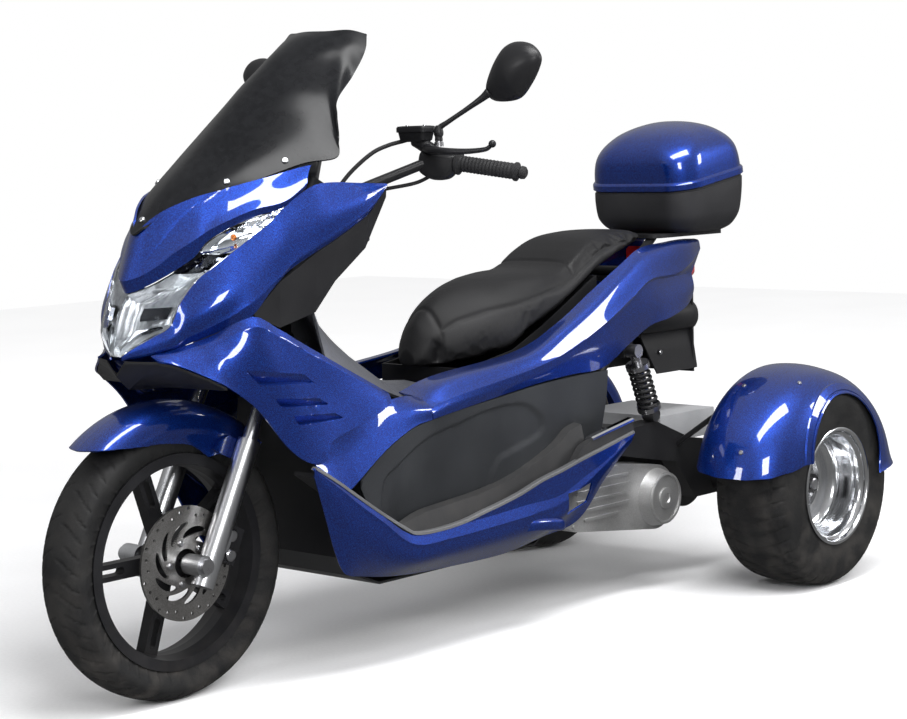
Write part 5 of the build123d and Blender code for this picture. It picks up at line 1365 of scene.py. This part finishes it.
mirror = {
    "outline": ((388, 1297), (421, 1289), (443, 1265), (436, 1238), (414, 1206), (386, 1180), (346, 1174),
        (312, 1179), (298, 1201), (314, 1241), (338, 1275), (360, 1292)),
    "centre": (370, 1236), "back": 160, "rim": 170, "around": 64,
    "stalk": ((222, 206, 1096), (221, 207, 1122), (214, 226, 1136), (202, 266, 1160), (190, 300, 1182),
        (184, 318, 1196)),
    "stalkRadius": (9, 7, 5.5, 5.5, 7.5, 11),
}
outline = throughPoints(np.array(mirror["outline"], float), mirror["around"], closed=True)
shrink = np.array([0.90, 0.97, 1.0, 0.985, 0.90, 0.72, 0.48, 0.22, 0.05])[:, None, None]
depthX = np.array([mirror["back"], mirror["back"] - 1, mirror["rim"] - 4, mirror["rim"] + 4,
    mirror["rim"] + 13, mirror["rim"] + 21, mirror["rim"] + 27, mirror["rim"] + 30, mirror["rim"] + 30.6])
loops = np.array(mirror["centre"], float) + (outline - mirror["centre"])[None] * shrink
headGrid = np.concatenate([np.broadcast_to(depthX[:, None, None], (9, mirror["around"], 1)), loops],
    axis=2) * mm
m = mirror["around"]
headFaces = tubeFaces(9, m)
head = (headGrid.reshape(-1, 3), headFaces[:, ::-1])
stalk = tubeAlong(mirror["stalk"], mirror["stalkRadius"], 50, 14)
collar = turned(((-8, 11), (6, 11), (10, 8.5), (18, 8)), (222, 206, 1112), 16, (0, 0, 1))
mirrorPiece = piece("mirrorShells", mirrored(*joined(head, stalk, collar)), blackSatin, "steering",
    ("mirrors",), sharp=50)
modify(mirrorPiece, "SUBSURF", levels=1, render_levels=1)
glassLoop = np.array(mirror["centre"], float) + (outline - mirror["centre"]) * 0.86
glassRing = np.stack([np.insert(glassLoop, 0, mirror["back"] + 1, axis=1),
    np.insert(glassLoop, 0, mirror["back"] - 1.5, axis=1)]) * mm
glassFaces = tubeFaces(2, m)
piece("mirrorGlass", mirrored(glassRing.reshape(-1, 3), glassFaces), mirrorGlass, "steering")
print("mirrors")

# Hand controls on the bar's outer stretch, mirrored to the other side

control = {
    "bar": (226, 195, 1058), "barEnd": (172, 378, 1029),
    # grip: distance out along the bar and radius, between the flange and the end weight
    "flange": ((54, 15), (55, 24), (60, 25), (63, 19)), "ribs": (64, 186, 31), "ribRadius": (17.4, 16.2),
    "weight": ((188, 17.5), (189, 20), (193, 20), (195, 15), (199, 11), (203, 14), (210, 13), (214, 8)),
    # switch pod: along, sideways, up, half width, half height
    "pod": ((-30, 0, -4, 13, 14), (-24, 2, -8, 22, 24), (4, 2, -12, 25, 30), (34, 0, -10, 25, 28),
        (48, 0, -4, 22, 22), (53, 0, 0, 18, 18)),
    # reservoir: height, length, width, corner radius
    "tank": ((0, 30, 60, 8), (4, 36, 70, 9), (20, 40, 76, 9), (21, 46, 82, 10), (30, 46, 82, 10),
        (33, 42, 78, 9), (34, 26, 62, 6)), "tankAt": (235, 153, 1096),
    "perch": ((224, 206, 1062), (232, 192, 1078), (236, 168, 1092), (236, 150, 1098)),
    "perchRadius": (17, 15, 14, 12),
    "lever": ((238, 184, 1082), (254, 214, 1078), (262, 262, 1075), (254, 313, 1074), (244, 352, 1077),
        (240, 364, 1083)), "leverRadius": (11, 9.5, 7.5, 6, 5, 4.5),
    "ball": (239, 369, 1088), "ballRadius": 8, "ballTip": 0.6,
    "screws": ((235, 128, 1129), (235, 178, 1129)), "screwRadius": 4, "screwHeight": 3,
    # mirror nut: height and radius
    "nut": ((-5, 10), (4, 10), (5, 8), (9, 8)), "nutAt": (222, 206, 1090), "hoseRadius": 4.5,
    "cableRadius": 4,
    "hose": ((236, 148, 1104), (240, 118, 1098), (262, 96, 1090), (292, 76, 1074), (330, 50, 1036),
        (362, 30, 992)),
    "cable": ((222, 186, 1026), (246, 160, 1010), (286, 120, 1000), (330, 70, 990), (366, 30, 976)),
}
outward = np.subtract(control["barEnd"], control["bar"])
along = np.linspace(*control["ribs"][:2], control["ribs"][2])
ribs = np.column_stack([along, np.where(np.arange(control["ribs"][2]) % 2 == 0, *control["ribRadius"])])
sleeve = turned(np.concatenate([control["flange"], ribs, control["weight"]]), control["bar"], 32, outward)
piece("gripSleeves", mirrored(*sleeve), gripRubber, "steering", ("grips",), sharp=25)
tank = np.array(control["tank"], float)
u, v = roundedLoops(*tank[:, 1:].T)
tankGrid = np.array(control["tankAt"]) * mm + np.stack([u, v, np.broadcast_to(tank[:, :1] * mm, u.shape)],
    axis=-1)
tankSides = tankGrid.shape[1]
tankMesh = (tankGrid.reshape(-1, 3), tubeFaces(len(tank), tankSides))
pod = podAlong(control["bar"], outward, control["pod"])
perch = tubeAlong(control["perch"], control["perchRadius"], 24, 16)
piece("switchPods", mirrored(*joined(pod, tankMesh, perch)), blackSatin, "steering",
    ("hand_controls",), sharp=35)
arc = np.linspace(0.1, 3.04, 12)
ballProfile = np.column_stack([-np.cos(arc), np.sin(arc)]) * control["ballRadius"]
ballProfile[:, 1] = np.maximum(ballProfile[:, 1], control["ballTip"])
ball = turned(ballProfile, control["ball"], 20, (0, 1, 0))
piece("brakeLevers", mirrored(*joined(tubeAlong(control["lever"], control["leverRadius"], 50, 14), ball)),
    castBlack, "steering")
piece("barCables",
    mirrored(*joined(tubeAlong(control["hose"], control["hoseRadius"], 40),
    tubeAlong(control["cable"], control["cableRadius"], 40))), gripRubber, "steering")
tankScrews = studs(control["screws"], (0, 0, 1), control["screwRadius"], control["screwHeight"])
mirrorNut = turned(control["nut"], control["nutAt"], 12, (0, 0, 1))
piece("barFixings", mirrored(*joined(tankScrews, mirrorNut)), groundSteel, "steering")
print("hand controls")

# Small castings: caliper pistons and the belt case's rings and bolts

casting = {
    "pistons": ((742, 84, 283), (736, 84, 322)), "pistonRadius": 13, "pistonHeight": 6,
    "dome": (-536, 226, 228),
    "ring": ((-2, 60), (3, 60), (4.5, 57), (3, 54), (-2, 54)),
    "hub": ((-2, 26), (3, 26), (5, 22), (5, 12), (2, 10)),
    "caseEnd": (-240, 268), "caseBolts": (-70, -20, 30, 80), "boltCircle": 68, "boltRadius": 7,
    "boltHeight": 5, "face": 196.3,
}
piece("caliperPistons",
    studs(casting["pistons"], (0, 1, 0), casting["pistonRadius"], casting["pistonHeight"], 24), groundSteel,
    "steering")
spots = np.radians(casting["caseBolts"])
boltPlaces = np.column_stack([casting["caseEnd"][0] + casting["boltCircle"] * np.cos(spots),
    np.full(len(spots), casting["face"]), casting["caseEnd"][1] + casting["boltCircle"] * np.sin(spots)])
ringMesh = turned(casting["ring"], casting["dome"], 64, closed=True)
caseRings = joined((ringMesh[0], ringMesh[1][:, ::-1]), turned(casting["hub"], casting["dome"], 40),
    studs(boltPlaces, (0, 1, 0), casting["boltRadius"], casting["boltHeight"]))
piece("caseRings", caseRings, castAlloy, "chassis", sharp=30)
print("castings")

# Springs round the dampers

spring = {"foot": (-552, 174.4, 425), "top": (-486, 174.4, 586), "radius": 23, "wire": 4.2, "turns": 7,
    "from": 0.17, "to": 0.73}
foot, top = np.array(spring["foot"]), np.array(spring["top"])
lift = (top - foot) / np.linalg.norm(top - foot)
sideways = np.array([0.0, 1.0, 0.0])
forward = np.cross(sideways, lift)
share = np.linspace(0, 1, 240)
swing = 2 * np.pi * spring["turns"] * share
coil = foot + (top - foot) * (spring["from"] + (spring["to"] - spring["from"]) * share)[:, None]
coil = coil + spring["radius"] * (np.cos(swing)[:, None] * sideways + np.sin(swing)[:, None] * forward)


def coilTube(line, radius, sides=8):
    # a wire round a helix: its ring frame comes from the coil's own outward direction
    line, radius = line * mm, radius * mm
    run = np.gradient(line, axis=0)
    run /= np.linalg.norm(run, axis=1, keepdims=True)
    across = np.cross(run, lift)
    across /= np.linalg.norm(across, axis=1, keepdims=True)
    other = np.cross(run, across)
    turn = np.linspace(0, 2 * np.pi, sides, endpoint=False)[None, :, None]
    rings = line[:, None] + radius * (np.cos(turn) * across[:, None] + np.sin(turn) * other[:, None])
    faces = tubeFaces(len(line), sides)
    return rings.reshape(-1, 3), faces


piece("shockSprings", mirrored(*coilTube(coil, spring["wire"])), frameBlack, "chassis",
    sharp=60)
print("springs")

# Camera, floor and light

cameraView = {
    "place": (3.547, 3.216, 1.0973), "yaw": 41.911, "pitch": 5.908, "roll": -1.485,
    "focalPixels": 2117.4, "imageWidth": 907, "sensor": 36.0,
}


def aimCamera(view):
    # forward from yaw and pitch, then right and up turned by the roll
    yaw, pitch, roll = (math.radians(view[k]) for k in ("yaw", "pitch", "roll"))
    forward = np.array([-math.cos(yaw) * math.cos(pitch), -math.sin(yaw) * math.cos(pitch), -math.sin(pitch)])
    right = np.array([-math.sin(yaw), math.cos(yaw), 0.0])
    up = np.cross(right, forward)
    turned = math.cos(roll) * right + math.sin(roll) * up
    upright = -math.sin(roll) * right + math.cos(roll) * up
    data = bpy.data.cameras.new("camera")
    data.sensor_fit = "HORIZONTAL"
    data.sensor_width = view["sensor"]
    data.lens = view["focalPixels"] / view["imageWidth"] * view["sensor"]
    camera = bpy.data.objects.new("camera", data)
    bpy.context.collection.objects.link(camera)
    matrix = np.eye(4)
    matrix[:3, 0], matrix[:3, 1], matrix[:3, 2], matrix[:3, 3] = turned, upright, -forward, view["place"]
    camera.matrix_world = matrix.T.tolist()
    bpy.context.scene.camera = camera
    return camera


camera = aimCamera(cameraView)

floorMaterial = mottled("paleFloor", (0.84, 0.84, 0.85), (0.90, 0.90, 0.91), 0.55, 0.65, 120.0, 2.0, 0.02)
# the floor glows a little more the further it lies from the object, so that it runs out into the backdrop
floorTree = floorMaterial.node_tree
floorAway = node(floorTree, "VectorMath", {0: node(floorTree, "TexCoord").outputs["Object"]},
    operation="LENGTH")
floorGlow = node(floorTree, "MapRange",
    {"Value": floorAway.outputs["Value"], "From Min": 1.2, "From Max": 4.5, "To Max": 0.5})
floorTree.links.new(floorGlow.outputs[0], floorTree.nodes["Principled BSDF"].inputs["Emission Color"])
floorTree.nodes["Principled BSDF"].inputs["Emission Strength"].default_value = 1.0
floorVerts = np.array([[-9, -9, 0], [9, -9, 0], [9, 9, 0], [-9, 9, 0]], float)
floorMesh = bpy.data.meshes.new("floor")
floorMesh.from_pydata(floorVerts.tolist(), [], [(0, 1, 2, 3)])
floor = bpy.data.objects.new("floor", floorMesh)
bpy.context.collection.objects.link(floor)
floorMesh.materials.append(floorMaterial)
floor.visible_glossy = False

# a white backdrop for the camera, and a dim one for light and reflections, brighter overhead than at the
# sides
studio = {"backdrop": 1.0, "low": 0.16, "high": 0.55}
world = bpy.data.worlds.new("studio")
world.use_nodes = True
sky = world.node_tree
upness = node(sky, "SeparateXYZ", {"Vector": node(sky, "TexCoord").outputs["Generated"]})
glow = node(sky, "MapRange",
    {"Value": upness.outputs["Z"], "From Min": -0.1, "From Max": 0.9, "To Min": studio["low"],
    "To Max": studio["high"]})
seen = node(sky, "LightPath")
strength = node(sky, "Mix", {0: seen.outputs["Is Camera Ray"], 2: glow.outputs[0], 3: studio["backdrop"]})
sky.links.new(strength.outputs[0], sky.nodes["Background"].inputs["Strength"])
sky.nodes["Background"].inputs["Color"].default_value = (1.0, 1.0, 1.0, 1)
bpy.context.scene.world = world
bpy.context.scene.view_settings.view_transform = "Standard"

softboxes = {
    # name: place, aim, width, height, watts
    "overhead": ((0.3, 1.2, 3.2), (0, 0, 0.6), 2.6, 0.8, 110),
    "frontLeft": ((3.4, 4.4, 2.6), (0.2, 0, 0.6), 1.3, 1.7, 120),
    "front": ((5.2, -0.6, 1.9), (0.5, 0, 0.6), 1.0, 1.5, 65),
    "rearLeft": ((-3.6, 3.4, 2.4), (-0.6, 0, 0.6), 1.0, 1.5, 75),
    "floorWash": ((1.0, 5.0, 4.6), (0.2, 0.3, 0.0), 5.0, 3.0, 280),
}
for name, (spot, aim, width, height, watts) in softboxes.items():
    data = bpy.data.lights.new(name, "AREA")
    data.shape = "RECTANGLE"
    data.size, data.size_y = width, height
    data.energy = watts
    light = bpy.data.objects.new(name, data)
    back = np.array(spot, float) - aim
    back /= np.linalg.norm(back)
    side = np.cross((0, 0, 1), back)
    side /= np.linalg.norm(side)
    matrix = np.eye(4)
    matrix[:3, 0], matrix[:3, 1], matrix[:3, 2], matrix[:3, 3] = side, np.cross(back, side), back, spot
    light.matrix_world = matrix.T.tolist()
    light.visible_glossy = name != "floorWash"
    bpy.context.collection.objects.link(light)
print("camera, floor and", len(softboxes), "softboxes")
